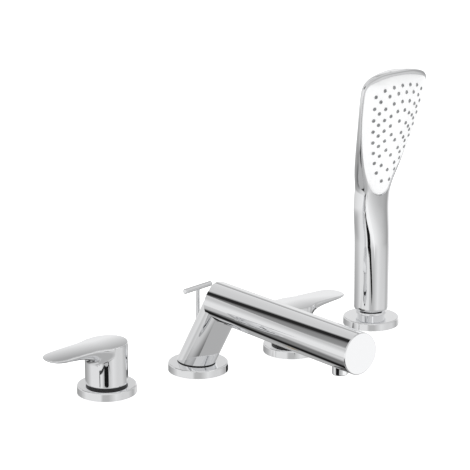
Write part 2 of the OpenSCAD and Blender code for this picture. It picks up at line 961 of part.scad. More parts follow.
// Drop outline of the spray face, grown by a margin; its tip is at the origin
function arc(c, r, from, to, steps, first = 1) =
  [for (i = [first : steps]) let (t = from + (to - from) * i / steps) c + r * [cos(t), sin(t)]];
corner_x = face_half - face_corner_r;
arch_y = face_h - face_arch_r;
corner_y = arch_y + sqrt(pow(face_arch_r - face_corner_r, 2) - pow(corner_x, 2));
tip_reach = face_side_r - face_tip_r;
corner_reach = face_side_r - face_corner_r;
side_run = norm([corner_x, corner_y - face_tip_r]);
side_way = [corner_x, corner_y - face_tip_r] / side_run;
side_along = (pow(tip_reach, 2) - pow(corner_reach, 2) + pow(side_run, 2)) / (2 * side_run);
side_off = sqrt(pow(tip_reach, 2) - pow(side_along, 2));
side_mid = [0, face_tip_r] + side_along * side_way + side_off * [-side_way[1], side_way[0]];
tip_turn = atan2(face_tip_r - side_mid[1], -side_mid[0]);
corner_turn = atan2(corner_y - side_mid[1], corner_x - side_mid[0]);
arch_turn = atan2(corner_y - arch_y, corner_x);
function half_outline(grow) = concat(
  arc([0, face_tip_r], face_tip_r + grow, -90, tip_turn, 8, 0),
  arc(side_mid, face_side_r + grow, tip_turn, corner_turn, 16),
  arc([corner_x, corner_y], face_corner_r + grow, corner_turn, arch_turn, 8),
  arc([0, arch_y], face_arch_r + grow, arch_turn, 90, 6)
);
function drop_outline(grow) =
  let (r = half_outline(grow), n = len(r))
    concat(r, [for (i = [n - 2 : -1 : 1]) [-r[i][0], r[i][1]]]);
// Half width of that outline at a height above its tip
function drop_half(y, grow) =
  y <= face_tip_r + (face_tip_r + grow) * sin(tip_turn)
    ? sqrt(max(0, pow(face_tip_r + grow, 2) - pow(y - face_tip_r, 2)))
  : y <= side_mid[1] + (face_side_r + grow) * sin(corner_turn)
    ? side_mid[0] + sqrt(pow(face_side_r + grow, 2) - pow(y - side_mid[1], 2))
  : y <= arch_y + (face_arch_r + grow) * sin(arch_turn)
    ? corner_x + sqrt(max(0, pow(face_corner_r + grow, 2) - pow(y - corner_y, 2)))
  : sqrt(max(0, pow(face_arch_r + grow, 2) - pow(y - arch_y, 2)));

// Height of the domed face over the rim plane
dome_keys = [
  [0, 0, 9], [0.06, 0.34, 1.7], [0.36, 0.67, 1.1], [0.72, 1, 0], [0.93, 0.66, -3.1], [1, 0, -17]
];
function face_height(x, y) =
  let (w = max(0.1, drop_half(y, 0)))
    face_rise * through(dome_keys, y / face_h) * (1 - pow(min(1, abs(x) / w), 2.2));

// Shell of the hand shower, as depths in front of and behind its axis
function face_depth(z) = tip_d + (z - tip_z) * tan(face_tilt);
function rim_depth(z) = face_depth(z) + rim_proud;
front_keys = [
  [blend_start, grip_r, 0],
  [blend_end, rim_depth(blend_end), tan(face_tilt)],
  [crown_z, rim_depth(crown_z), tan(face_tilt)]
];
widest_keys = [
  [tip_z - 0.182 * face_h, 0, 0],
  [full_z, rim_depth(full_z) - rim_edge, tan(face_tilt)],
  [crown_z, rim_depth(crown_z) - rim_edge, tan(face_tilt)]
];
function head_key(z, depths, slope) = [z, depths * crown_depth - face_depth(z), slope];
back_keys = [
  [tip_z - 0.473 * face_h, grip_r, 0],
  [tip_z + 0.015 * face_h, 1.055 * grip_r, -0.06],
  head_key(tip_z + 0.357 * face_h, 1.68, -0.385),
  head_key(tip_z + 0.685 * face_h, 1.21, -0.22),
  head_key(tip_z + 0.881 * face_h, 1.19, -0.3),
  head_key(crown_z, 1, -0.45)
];
function shell_half(z) =
  let (y = (z - tip_z) / cos(face_tilt) * (face_h + rim_w) / (face_h + rim_w + crown_rise))
    y < 0 ? grip_r
    : y > 2 * face_tip_r ? drop_half(y, rim_w)
    : soft_max(grip_r, drop_half(y, rim_w), 3 * min(1, y / 8));
function shell_power(z) = 2 / through([[tip_z - 0.364 * face_h, 2, 0], [full_z, 2.5, 0]], z);
function shell_ring(z, trim) =
  let (
    a = shell_half(z) - trim,
    f = through(front_keys, z) - trim,
    k = through(back_keys, z) - trim,
    c = through(widest_keys, z),
    p = shell_power(z)
  )
    [for (i = [0 : grip_sides - 1])
      let (t = 360 * i / grip_sides, depth = sin(t) > 0 ? k + c : f - c)
        [a * signed_power(cos(t), p), depth * signed_power(sin(t), p) - c, z]];

function crown_trim(d) =
  0.8 * crown_round * (1 - sqrt(1 - pow(max(0, 1 - d / crown_round), 2)));

module shell_solid() {
  foot = [[0, 1.4], [0.5, 0.6], [1.4, 0]];
  neck = [for (z = [grip_z + 25 : 25 : blend_start]) z];
  head = [for (z = [blend_start + 8 : 8 : crown_z - 25]) z];
  crown = [20, 15, 11, 8, 5.6, 3.8, 2.4, 1.4, 0.7];
  loft(concat(
    [for (s = foot) shell_ring(grip_z + s[0], s[1])],
    [for (z = concat(neck, head)) shell_ring(z, 0)],
    [for (d = crown) shell_ring(crown_z - d, crown_trim(d))]
  ));
}

// Domed plate between two depths below the face's outside
function pillow_ring(y, z0, z1) =
  let (
    w = drop_half(y, 0),
    across = [for (i = [0 : pillow_sides]) w * (2 * i / pillow_sides - 1)]
  )
    concat(
      [for (x = across) [x, y, z1 + face_height(x, y)]],
      [for (x = across) [-x, y, z0 + face_height(x, y)]]
    );
module pillow(z0, z1, crossed = false) {
  margin = 0.15;
  loft([
    for (i = [0 : pillow_steps])
      pillow_ring(margin + (face_h - 2 * margin) * (1 - cos(180 * i / pillow_steps)) / 2, z0, z1)
  ], crossed);
}

// Face frame: X across, Y up the face, Z out of it
module at_face() {
  at_shower()
    translate([0, -tip_d, tip_z])
      rotate([90 + face_tilt, 0, 0])
        children();
}

module drop_plate(grow, z0, z1) {
  translate([0, 0, z0])
    linear_extrude(z1 - z0)
      polygon(drop_outline(grow));
}

module shower_shell() {
  color("#d9dcdf")
    difference() {
      at_shower()
        shell_solid();
      at_face() {
        drop_plate(face_clear, -face_t - mat_t, face_rise);
        drop_plate(-chamber_inset, -recess_t, 0);
      }
      at_shower() {
        rod(inlet_flange_r + fit_gap, grip_z - over, grip_hollow_top);
        translate([0, passage_y, 0])
          rod(passage_r, grip_hollow_top - over, passage_z);
        side_rod(port_r, -passage_y, 3, passage_z - 2 * port_r, -90);
      }
    }
}

// Nozzles in nested drops: count, share of the width, share of the height, start of the walk
nozzle_rings = [[23, 0.755, 0.81, 0.5], [19, 0.627, 0.653, 0], [14, 0.476, 0.456, 0], [9, 0.298, 0.25, 0]];
nozzle_mid = [0, 0.648 * face_h];
function walk(points, count, start) =
  let (
    n = len(points),
    steps = [for (i = [0 : n - 1]) norm(points[(i + 1) % n] - points[i])],
    marks = [for (i = 0, s = 0; i <= n; s = s + (i < n ? steps[i] : 0), i = i + 1) s]
  )
    [for (k = [0 : count - 1])
      let (
        s = marks[n] * (k + start) / count,
        i = max([for (j = [0 : n - 1]) if (marks[j] <= s) j]),
        t = (s - marks[i]) / steps[i]
      )
        points[i] + t * (points[(i + 1) % n] - points[i])];
function nozzle_places() = concat(
  [nozzle_mid],
  [for (r = nozzle_rings)
    each walk(
      [for (p = drop_outline(0)) nozzle_mid + [r[1] * p[0], r[2] * (p[1] - nozzle_mid[1])]],
      r[0], r[3])]
);

// One round per nozzle, square to the dome, between two depths below its outside
module nozzles(r, z0, z1) {
  d = 0.5;
  for (p = nozzle_places()) {
    slope = [
      (face_height(p[0] - d, p[1]) - face_height(p[0] + d, p[1])) / (2 * d),
      (face_height(p[0], p[1] - d) - face_height(p[0], p[1] + d)) / (2 * d)
    ];
    translate([p[0], p[1], face_height(p[0], p[1])])
      rotate([0, atan(norm(slope)), atan2(slope[1], slope[0])])
        translate([0, 0, z0])
          cylinder(r = r, h = z1 - z0, $fn = 24);
  }
}

module spray_face() {
  color("#f4f5f6")
    at_face()
      difference() {
        pillow(-face_t, 0);
        nozzles(nozzle_r + 0.2, -2 * face_t, face_t);
      }
}

module nozzle_mat() {
  color("#9a9c9e")
    at_face()
      union() {
        pillow(-face_t - mat_t, -face_t - fit_gap, true);
        nozzles(nozzle_r, -face_t - mat_t / 2, nozzle_proud);
      }
}

hot_handle();
hot_grub_screw();
hot_screw_cap();
hot_spindle();
hot_upper_disc();
hot_lower_disc();
hot_cartridge();
hot_cartridge_seal();
hot_valve_body();
hot_slip_ring();
hot_escutcheon();
cold_handle();
cold_grub_screw();
cold_screw_cap();
cold_spindle();
cold_upper_disc();
cold_lower_disc();
cold_cartridge();
cold_cartridge_seal();
cold_valve_body();
cold_slip_ring();
cold_escutcheon();
spout_body();
spout_end_cap();
spout_foot_seal();
spout_escutcheon();
spout_shank();
outlet_housing();
outlet_insert();
outlet_seal();
diverter_body();
diverter_rod();
diverter_bar();
diverter_bush();
diverter_piston();
diverter_seal();
diverter_spring();
holder_escutcheon();
holder_collar();
holder_sleeve();
hose_nut();
hose_seal();
shower_inlet();
check_valve();
water_tube();
shower_shell();
spray_face();
nozzle_mat();
deck_gaskets();
deck_washers();
deck_nuts();
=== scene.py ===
import json
import math

import bpy
import numpy as np
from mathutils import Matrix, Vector


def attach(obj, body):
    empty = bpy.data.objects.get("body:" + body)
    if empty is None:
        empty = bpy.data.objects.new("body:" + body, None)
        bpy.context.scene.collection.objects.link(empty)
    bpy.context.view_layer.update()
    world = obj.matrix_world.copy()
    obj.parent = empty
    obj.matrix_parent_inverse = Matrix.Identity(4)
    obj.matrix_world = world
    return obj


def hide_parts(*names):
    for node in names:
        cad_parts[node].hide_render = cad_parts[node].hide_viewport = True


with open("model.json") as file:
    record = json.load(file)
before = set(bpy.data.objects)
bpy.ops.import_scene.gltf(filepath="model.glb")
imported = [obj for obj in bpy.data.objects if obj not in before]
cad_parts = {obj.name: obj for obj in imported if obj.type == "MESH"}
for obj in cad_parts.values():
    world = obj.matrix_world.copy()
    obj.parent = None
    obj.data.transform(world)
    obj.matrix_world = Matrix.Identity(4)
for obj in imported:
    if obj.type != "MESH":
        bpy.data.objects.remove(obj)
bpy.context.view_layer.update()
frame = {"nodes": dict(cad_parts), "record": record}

MM = 0.001
SHARP = 40.0

# Places and sizes of the object, in millimetres
HOT_AT = (-112.0, 4.6)
COLD_AT = (114.0, -15.5)
SHOWER_AT = (246.0, -0.4)
SHOWER_TURN = 6.0
LEVER_SET = 4.0

SKIRT_R = 21.7
SKIRT_Z = 10.6
SKIRT_WALL = 3.0
HANDLE_TOP = 53.0
HANDLE_HOLLOW_TOP = 40.0
BOSS_R = 8.5
BOSS_Z = 27.5
SPLINE_R = 4.65
SPLINE_TOP = 38.8
CAP_HOLE_R = 3.3
CAP_HOLE_Z = 33.0
LEVER_REACH = 73.5
LEVER_HALF = 16.8
LEVER_TIP_T = 1.9
LEVER_DROP = 2.0
LEVER_ROUND = 17.0
LEVER_CROWN = 0.5
LEVER_TIP_POWER = 2.6
BLADE_POWER = 1.92
HANDLE_LOW = (-23.1, -23.1, 10.2)
HANDLE_HIGH = (74.6, 23.1, 54.1)
HANDLE_STEP = 0.55

GRIP_R = 18.3
GRIP_Z = 17.6
GRIP_BORE = 12.6
TIP_Z = 151.0
TIP_D = 5.2
FACE_TILT = math.radians(10.9)
FACE_H = 137.3
GRIP_HOLLOW_TOP = TIP_Z - 0.335 * FACE_H
FACE_HALF = 50.4
FACE_TIP_R = 20.0
FACE_CORNER_R = 9.0
FACE_ARCH_R = 163.0
FACE_SIDE_R = 240.0
FACE_RISE = 12.4
FACE_T = 3.0
FACE_GAP = 0.15
MAT_T = 1.2
RIM_W = 1.6
RIM_PROUD = 0.7
RIM_EDGE = 2.0
CROWN_DEPTH = 13.0
CROWN_RISE = 4.2
CROWN_ROUND = 4.0
NOZZLE_R = 1.9
NOZZLE_PROUD = 0.9
NOZZLE_GAP = 0.2
CROWN_Z = TIP_Z + (FACE_H + RIM_W + CROWN_RISE) * math.cos(FACE_TILT)


# Shader groups that several finishes share
def new_group(name, inputs, outputs):
    group = bpy.data.node_groups.new(name, "ShaderNodeTree")
    for label, kind, value in inputs:
        socket = group.interface.new_socket(name=label, in_out="INPUT", socket_type=kind)
        if value is not None:
            socket.default_value = value
    for label, kind in outputs:
        group.interface.new_socket(name=label, in_out="OUTPUT", socket_type=kind)
    return group, group.nodes.new("NodeGroupInput"), group.nodes.new("NodeGroupOutput")


def add_node(tree, kind, **settings):
    node = tree.nodes.new(kind)
    for key, value in settings.items():
        setattr(node, key, value)
    return node


def feed(tree, socket, value):
    """Set a socket to a number, or link it to the output of another node."""
    if isinstance(value, (int, float)):
        socket.default_value = value
    else:
        tree.links.new(value, socket)


def noise(tree, coords, scale, detail, rough):
    node = add_node(tree, "ShaderNodeTexNoise")
    for label, value in (("Vector", coords), ("Scale", scale), ("Detail", detail), ("Roughness", rough)):
        feed(tree, node.inputs[label], value)
    return node.outputs["Fac"]


def remap(tree, value, low, high, to_low=0.0, to_high=1.0):
    node = add_node(tree, "ShaderNodeMapRange", clamp=True)
    for label, number in (("From Min", low), ("From Max", high), ("To Min", to_low), ("To Max", to_high),
                          ("Value", value)):
        feed(tree, node.inputs[label], number)
    return node.outputs["Result"]


def math_node(tree, operation, a, b):
    node = add_node(tree, "ShaderNodeMath", operation=operation)
    for socket, value in zip(node.inputs, (a, b)):
        feed(tree, socket, value)
    return node.outputs["Value"]


def weighted(tree, a, share_a, b, share_b):
    """Sum of two values, each times its share."""
    parts = [math_node(tree, "MULTIPLY", value, share) for value, share in ((a, share_a), (b, share_b))]
    return math_node(tree, "ADD", *parts)


# Sockets of the Mix node when it mixes colours
SHADE_A, SHADE_B, SHADE_OUT = 6, 7, 2


def mix_shades(tree, share, a, b):
    mix = add_node(tree, "ShaderNodeMix", data_type="RGBA")
    for socket, value in (("Factor", share), (SHADE_A, a), (SHADE_B, b)):
        tree.links.new(value, mix.inputs[socket])
    return mix.outputs[SHADE_OUT]


def make_polish_group():
    """Soft wipe marks: cloudy patches with a few fine streaks."""
    group, gin, gout = new_group(
        "polish_marks",
        [("Coordinates", "NodeSocketVector", None), ("Patch Scale", "NodeSocketFloat", 18.0),
         ("Low", "NodeSocketFloat", 0.03), ("High", "NodeSocketFloat", 0.08)],
        [("Roughness", "NodeSocketFloat"), ("Height", "NodeSocketFloat"), ("Mask", "NodeSocketFloat")],
    )
    links = group.links
    cloud = noise(group, gin.outputs["Coordinates"], gin.outputs["Patch Scale"], 4.0, 0.55)
    stretch = add_node(group, "ShaderNodeMapping")
    stretch.inputs["Scale"].default_value = (60.0, 380.0, 90.0)
    stretch.inputs["Rotation"].default_value = (0.3, 0.5, 0.8)
    links.new(gin.outputs["Coordinates"], stretch.inputs["Vector"])
    streak = noise(group, stretch.outputs["Vector"], 1.0, 2.0, 0.4)
    mask = remap(group, weighted(group, cloud, 0.75, streak, 0.25), 0.38, 0.68)
    rough = remap(group, mask, 0.0, 1.0, gin.outputs["Low"], gin.outputs["High"])
    links.new(rough, gout.inputs["Roughness"])
    links.new(noise(group, gin.outputs["Coordinates"], 55.0, 2.0, 0.4), gout.inputs["Height"])
    links.new(mask, gout.inputs["Mask"])
    return group


def make_grain_group():
    """Fine moulded or cast grain over a slow change of tone."""
    group, gin, gout = new_group(
        "moulded_grain",
        [("Coordinates", "NodeSocketVector", None), ("Grain Scale", "NodeSocketFloat", 900.0),
         ("Dark", "NodeSocketColor", (0.1, 0.1, 0.1, 1)), ("Light", "NodeSocketColor", (0.2, 0.2, 0.2, 1)),
         ("Low", "NodeSocketFloat", 0.4), ("High", "NodeSocketFloat", 0.6)],
        [("Color", "NodeSocketColor"), ("Roughness", "NodeSocketFloat"), ("Height", "NodeSocketFloat")],
    )
    links = group.links
    grain = noise(group, gin.outputs["Coordinates"], gin.outputs["Grain Scale"], 2.0, 0.6)
    tone = remap(group, noise(group, gin.outputs["Coordinates"], 32.0, 3.0, 0.5), 0.3, 0.7)
    links.new(mix_shades(group, tone, gin.outputs["Dark"], gin.outputs["Light"]), gout.inputs["Color"])
    rough = remap(group, grain, 0.25, 0.75, gin.outputs["Low"], gin.outputs["High"])
    links.new(rough, gout.inputs["Roughness"])
    links.new(grain, gout.inputs["Height"])
    return group


def make_turning_group():
    """Rings that a lathe leaves, as fine bands along the Z axis, with stains."""
    group, gin, gout = new_group(
        "turning_marks",
        [("Coordinates", "NodeSocketVector", None), ("Dark", "NodeSocketColor", (0.3, 0.2, 0.1, 1)),
         ("Light", "NodeSocketColor", (0.7, 0.5, 0.3, 1)), ("Low", "NodeSocketFloat", 0.2),
         ("High", "NodeSocketFloat", 0.4)],
        [("Color", "NodeSocketColor"), ("Roughness", "NodeSocketFloat"), ("Height", "NodeSocketFloat")],
    )
    links = group.links
    bands = add_node(group, "ShaderNodeTexWave", bands_direction="Z")
    bands.inputs["Scale"].default_value = 520.0
    bands.inputs["Distortion"].default_value = 1.2
    bands.inputs["Detail"].default_value = 1.0
    links.new(gin.outputs["Coordinates"], bands.inputs["Vector"])
    stain = remap(group, noise(group, gin.outputs["Coordinates"], 70.0, 5.0, 0.6), 0.35, 0.7)
    links.new(mix_shades(group, stain, gin.outputs["Light"], gin.outputs["Dark"]), gout.inputs["Color"])
    spread = weighted(group, bands.outputs["Fac"], 0.4, stain, 0.6)
    rough = remap(group, spread, 0.0, 1.0, gin.outputs["Low"], gin.outputs["High"])
    links.new(rough, gout.inputs["Roughness"])
    links.new(bands.outputs["Fac"], gout.inputs["Height"])
    return group


POLISH = make_polish_group()
GRAIN = make_grain_group()
TURNING = make_turning_group()


def finish_material(name, group, values, bump, links, **sockets):
    """A Principled finish with one shared group; links pairs group outputs with shader sockets."""
    material = bpy.data.materials.new(name)
    material.use_nodes = True
    tree = material.node_tree
    shader = tree.nodes["Principled BSDF"]
    for label, value in sockets.items():
        shader.inputs[label.replace("_", " ")].default_value = value
    coords = add_node(tree, "ShaderNodeTexCoord")
    marks = add_node(tree, "ShaderNodeGroup", node_tree=group)
    tree.links.new(coords.outputs["Object"], marks.inputs["Coordinates"])
    for label, value in values.items():
        marks.inputs[label.replace("_", " ")].default_value = value
    for source, target in links:
        tree.links.new(marks.outputs[source], shader.inputs[target])
    strength, distance = bump
    relief = add_node(tree, "ShaderNodeBump")
    relief.inputs["Strength"].default_value = strength
    relief.inputs["Distance"].default_value = distance
    tree.links.new(marks.outputs["Height"], relief.inputs["Height"])
    tree.links.new(relief.outputs["Normal"], shader.inputs["Normal"])
    return material


def plain_color(r, g, b):
    return (r, g, b, 1.0)


def shades(dark, light, low, high, **more):
    """Values of a shared group: two shades and the range of its roughness."""
    return {"Dark": plain_color(*dark), "Light": plain_color(*light), "Low": low, "High": high, **more}


POLISH_LINKS = [("Roughness", "Roughness")]
GRAIN_LINKS = [("Color", "Base Color"), ("Roughness", "Roughness")]
CHROME_COLOR = plain_color(0.9, 0.905, 0.915)
FINISH = {
    "chrome": finish_material(
        "chrome", POLISH, {"Low": 0.014, "High": 0.036},
        (0.007, 0.0005), POLISH_LINKS, Base_Color=CHROME_COLOR, Metallic=1.0),
    "chromed_plastic": finish_material(
        "chromed_plastic", POLISH, {"Low": 0.016, "High": 0.04, "Patch_Scale": 24.0},
        (0.008, 0.0005), POLISH_LINKS, Base_Color=CHROME_COLOR, Metallic=1.0),
    "white_plastic": finish_material(
        "white_plastic", GRAIN,
        shades((0.83, 0.835, 0.84), (0.87, 0.872, 0.874), 0.12, 0.2, Grain_Scale=420.0),
        (0.03, 0.0002), GRAIN_LINKS, IOR=1.5),
    "silicone": finish_material(
        "silicone", GRAIN,
        shades((0.2, 0.205, 0.21), (0.3, 0.305, 0.31), 0.42, 0.6, Grain_Scale=1400.0),
        (0.12, 0.0001), GRAIN_LINKS, IOR=1.42),
    "brass": finish_material(
        "brass", TURNING,
        shades((0.5, 0.35, 0.14), (0.78, 0.58, 0.27), 0.2, 0.42),
        (0.08, 0.0001), GRAIN_LINKS, Metallic=1.0),
    "rubber": finish_material(
        "rubber", GRAIN,
        shades((0.012, 0.012, 0.013), (0.03, 0.03, 0.032), 0.5, 0.75, Grain_Scale=1100.0),
        (0.25, 0.0001), GRAIN_LINKS, IOR=1.45),
    "ceramic": finish_material(
        "ceramic", GRAIN,
        shades((0.72, 0.7, 0.65), (0.84, 0.82, 0.77), 0.12, 0.3, Grain_Scale=600.0),
        (0.05, 0.0001), GRAIN_LINKS, IOR=1.7),
    "inner_plastic": finish_material(
        "inner_plastic", GRAIN,
        shades((0.5, 0.51, 0.52), (0.62, 0.63, 0.64), 0.35, 0.55, Grain_Scale=800.0),
        (0.1, 0.0001), GRAIN_LINKS, IOR=1.49),
    # Near black, darkened so that the slip rings also carry painted shade for the gap under the handles'
    # skirts
    "black_plastic": finish_material(
        "black_plastic", GRAIN,
        shades((0.008, 0.008, 0.009), (0.018, 0.018, 0.02), 0.3, 0.5, Grain_Scale=900.0),
        (0.1, 0.0001), GRAIN_LINKS, IOR=1.49),
    "steel": finish_material(
        "steel", TURNING,
        shades((0.42, 0.43, 0.44), (0.62, 0.63, 0.64), 0.22, 0.4),
        (0.06, 0.0001), GRAIN_LINKS, Metallic=1.0),
}

SLOT_OF = {part["node"]: part["material_slot"] for part in frame["record"]["subparts"]}
for node_name, node_object in frame["nodes"].items():
    node_object.data.materials.clear()
    node_object.data.materials.append(FINISH[SLOT_OF[node_name]])


# Meshes
def placed(name, data):
    """A new object in the scene."""
    thing = bpy.data.objects.new(name, data)
    bpy.context.scene.collection.objects.link(thing)
    return thing


def smooth(mesh, sharp=SHARP):
    """Smooth shading, with the edges sharp past an angle in degrees."""
    mesh.shade_smooth()
    mesh.set_sharp_from_angle(angle=math.radians(sharp))


def to_mesh(name, points, faces, normals=None, sharp=None):
    """A smooth mesh from points in millimetres, with sharp edges past an angle or with set normals."""
    mesh = bpy.data.meshes.new(name)
    mesh.from_pydata((np.asarray(points, float) * MM).tolist(), [], [list(f) for f in faces])
    mesh.validate()
    mesh.shade_smooth()
    if sharp is not None:
        smooth(mesh, sharp)
    if normals is not None:
        mesh.normals_split_custom_set_from_vertices(np.asarray(normals, float).tolist())
    mesh.update()
    return mesh


def show(name, mesh, node, body):
    """A piece that stands for a CAD node, with that node's finish."""
    slot = SLOT_OF[node]
    mesh.materials.clear()
    mesh.materials.append(FINISH[slot])
    piece = placed(name, mesh)
    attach(piece, body)
    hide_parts(node)
    return piece


def boolean(mesh, tool, operation):
    """The mesh joined with or cut by a tool mesh, as a plain mesh."""
    objects = [placed("work", m) for m in (mesh, tool)]
    modifier = objects[0].modifiers.new("cut", "BOOLEAN")
    modifier.operation = operation
    modifier.solver = "EXACT"
    modifier.object = objects[1]
    shown = objects[0].evaluated_get(bpy.context.evaluated_depsgraph_get())
    result = bpy.data.meshes.new_from_object(shown)
    for work in objects:
        bpy.data.objects.remove(work)
    return result


def quads_between(rows, count):
    """Faces between closed rings of points, each ring of the same count."""
    i, j = np.meshgrid(np.arange(rows - 1), np.arange(count), indexing="ij")
    a, b = i * count + j, i * count + (j + 1) % count
    return np.stack([a, b, b + count, a + count], -1).reshape(-1, 4).tolist()


def lofted(rings):
    """Points and faces of a closed skin over rings that run anticlockwise, from bottom to top."""
    rows, count = len(rings), len(rings[0])
    faces = quads_between(rows, count)
    faces.append(list(range(count - 1, -1, -1)))
    faces.append([(rows - 1) * count + j for j in range(count)])
    return np.concatenate(rings), faces


def upright_rod(radius, z0, z1, at=(0.0, 0.0), count=96):
    turn = np.linspace(0, 2 * math.pi, count, endpoint=False)
    ring = np.stack([at[0] + radius * np.cos(turn), at[1] + radius * np.sin(turn), np.zeros(count)], -1)
    return lofted([ring + (0, 0, z0), ring + (0, 0, z1)])


def turn_about(points, degrees, at):
    """Points turned about the vertical, then moved to a place on the deck."""
    c, s = math.cos(math.radians(degrees)), math.sin(math.radians(degrees))
    points = np.asarray(points, float)
    x, y = points[:, 0] * c - points[:, 1] * s, points[:, 0] * s + points[:, 1] * c
    return np.stack([x + at[0], y + at[1], points[:, 2]], -1)


# Lever handles: one smooth field for skirt and blade
def soft_min(a, b, k):
    h = np.clip(0.5 + 0.5 * (b - a) / k, 0, 1)
    return b + (a - b) * h - k * h * (1 - h)


def soft_max(a, b, k):
    return -soft_min(-a, -b, k)


def lever_width(x):
    flare = (SKIRT_R - LEVER_HALF - 1.4) * np.exp(-((x - 8) / 9) ** 2)
    straight = LEVER_HALF - (x - SKIRT_R) * 0.035 + flare
    past = np.clip((x - LEVER_REACH + LEVER_ROUND) / LEVER_ROUND, 0, 1)
    return np.maximum(straight * (1 - past ** LEVER_TIP_POWER) ** (1 / LEVER_TIP_POWER), 0.02)


def lever_thick(x):
    d = np.maximum(LEVER_REACH - x, 0)
    root = 7 * np.exp(-np.maximum(0, x - SKIRT_R + 2.4) / 6)
    return LEVER_TIP_T + 0.12 * d + 3.2 * (1 - np.exp(-d / 9)) + root


def handle_level(x, y):
    start = SKIRT_R / 2
    run = np.maximum(0, x - start) / (LEVER_REACH - start)
    return HANDLE_TOP - LEVER_DROP * run ** 2 - LEVER_CROWN * (y / LEVER_HALF) ** 2


def blade_share(x, y, z):
    """Below 1 inside the blade's half-round section, open at the top."""
    w = lever_width(x)
    h = lever_thick(x) * (0.35 + 0.65 * np.minimum(1, w / 8))
    edge = np.minimum(0.9, h / 2)
    drop = np.maximum(0, handle_level(x, y) - edge - z) / (h - edge)
    return ((np.abs(y) / w) ** BLADE_POWER + drop ** BLADE_POWER + 1e-9) ** (1 / BLADE_POWER) - 1


def gradient(field, x, y, z, d):
    return (
        (field(x + d, y, z) - field(x - d, y, z)) / (2 * d),
        (field(x, y + d, z) - field(x, y - d, z)) / (2 * d),
        (field(x, y, z + d) - field(x, y, z - d)) / (2 * d),
    )


def blade_field(x, y, z):
    slope = np.sqrt(sum(g * g for g in gradient(blade_share, x, y, z, 0.02)))
    share = blade_share(x, y, z)
    away = share / np.maximum(slope, 1 / 30)
    return np.clip(away, -30, 30) + np.maximum(0, 6 - x) + np.maximum(0, x - LEVER_REACH + 0.05)


def handle_field(x, y, z):
    """Below 0 inside a handle whose lever points along +X."""
    radius = np.hypot(x, y)
    side = soft_min(radius - SKIRT_R, blade_field(x, y, z), 3.0)
    solid = soft_max(side, z - handle_level(x, y), 0.8)
    solid = soft_max(solid, SKIRT_Z - z, 0.4)
    boss = np.maximum(radius - BOSS_R, BOSS_Z - z)
    hollow = np.maximum(np.maximum(radius - SKIRT_R + SKIRT_WALL, z - HANDLE_HOLLOW_TOP), -boss)
    bore = np.maximum(radius - SPLINE_R, z - SPLINE_TOP)
    cap_hole = np.maximum(np.hypot(y, z - CAP_HOLE_Z) - CAP_HOLE_R, x + SKIRT_R - SKIRT_WALL - 1)
    return np.maximum(np.maximum(solid, -hollow), np.maximum(-bore, -cap_hole))


def skin_of(field, low, high, step):
    """Points, faces and normals of the surface where a field is zero."""
    axes = [np.arange(a, b + step, step) for a, b in zip(low, high)]
    inside = field(*np.meshgrid(*axes, indexing="ij")) < 0
    nx, ny, nz = (n - 1 for n in inside.shape)
    count = sum(inside[i:nx + i, j:ny + j, k:nz + k].astype(np.int8)
                for i in (0, 1) for j in (0, 1) for k in (0, 1))
    cells = np.argwhere((count > 0) & (count < 8))
    index = np.full((nx, ny, nz), -1)
    index[tuple(cells.T)] = np.arange(len(cells))
    points = np.asarray(low) + (cells + 0.5) * step
    for _ in range(6):
        x, y, z = points.T
        g = np.stack(gradient(field, x, y, z, 0.02), -1)
        move = field(x, y, z)[:, None] * g / np.maximum((g * g).sum(1), 1e-6)[:, None]
        length = np.linalg.norm(move, axis=1, keepdims=True)
        points = points - move * np.minimum(1, 0.5 * step / np.maximum(length, 1e-9))
    faces = []
    for axis in range(3):
        first = np.take(inside, range(inside.shape[axis] - 1), axis)
        second = np.take(inside, range(1, inside.shape[axis]), axis)
        for a, b, turned in ((first, second, False), (second, first, True)):
            edge = np.argwhere(a & ~b)
            u, v = (axis + 1) % 3, (axis + 2) % 3
            for w in (u, v):
                edge = edge[(edge[:, w] > 0) & (edge[:, w] < index.shape[w])]
            corners = []
            for du, dv in ((-1, -1), (0, -1), (0, 0), (-1, 0)):
                cell = edge.copy()
                cell[:, u] += du
                cell[:, v] += dv
                corners.append(index[tuple(cell.T)])
            quad = np.stack(corners, -1)
            faces.append(quad[:, ::-1] if turned else quad)
    x, y, z = points.T
    normals = np.stack(gradient(field, x, y, z, 0.03), -1)
    normals /= np.linalg.norm(normals, axis=1, keepdims=True)
    return points, np.concatenate(faces), normals


handle_points, handle_faces, handle_normals = skin_of(handle_field, HANDLE_LOW, HANDLE_HIGH, HANDLE_STEP)
for side, at, turn in (("hot", HOT_AT, 180 + LEVER_SET), ("cold", COLD_AT, LEVER_SET)):
    mesh = to_mesh(side + "_lever_handle", turn_about(handle_points, turn, at), handle_faces,
                   turn_about(handle_normals, turn, (0, 0)))
    show(side + "_lever_handle", mesh, side + "_handle", side + "_lever")


# Outline of the spray face, with its tip at the origin
CORNER_X = FACE_HALF - FACE_CORNER_R
ARCH_Y = FACE_H - FACE_ARCH_R
CORNER_Y = ARCH_Y + math.sqrt((FACE_ARCH_R - FACE_CORNER_R) ** 2 - CORNER_X ** 2)
SIDE_RUN = math.hypot(CORNER_X, CORNER_Y - FACE_TIP_R)
SIDE_WAY = (CORNER_X / SIDE_RUN, (CORNER_Y - FACE_TIP_R) / SIDE_RUN)
TIP_REACH, CORNER_REACH = FACE_SIDE_R - FACE_TIP_R, FACE_SIDE_R - FACE_CORNER_R
SIDE_ALONG = (TIP_REACH ** 2 - CORNER_REACH ** 2 + SIDE_RUN ** 2) / (2 * SIDE_RUN)
SIDE_OFF = math.sqrt(TIP_REACH ** 2 - SIDE_ALONG ** 2)
SIDE_MID = (SIDE_ALONG * SIDE_WAY[0] - SIDE_OFF * SIDE_WAY[1],
            FACE_TIP_R + SIDE_ALONG * SIDE_WAY[1] + SIDE_OFF * SIDE_WAY[0])
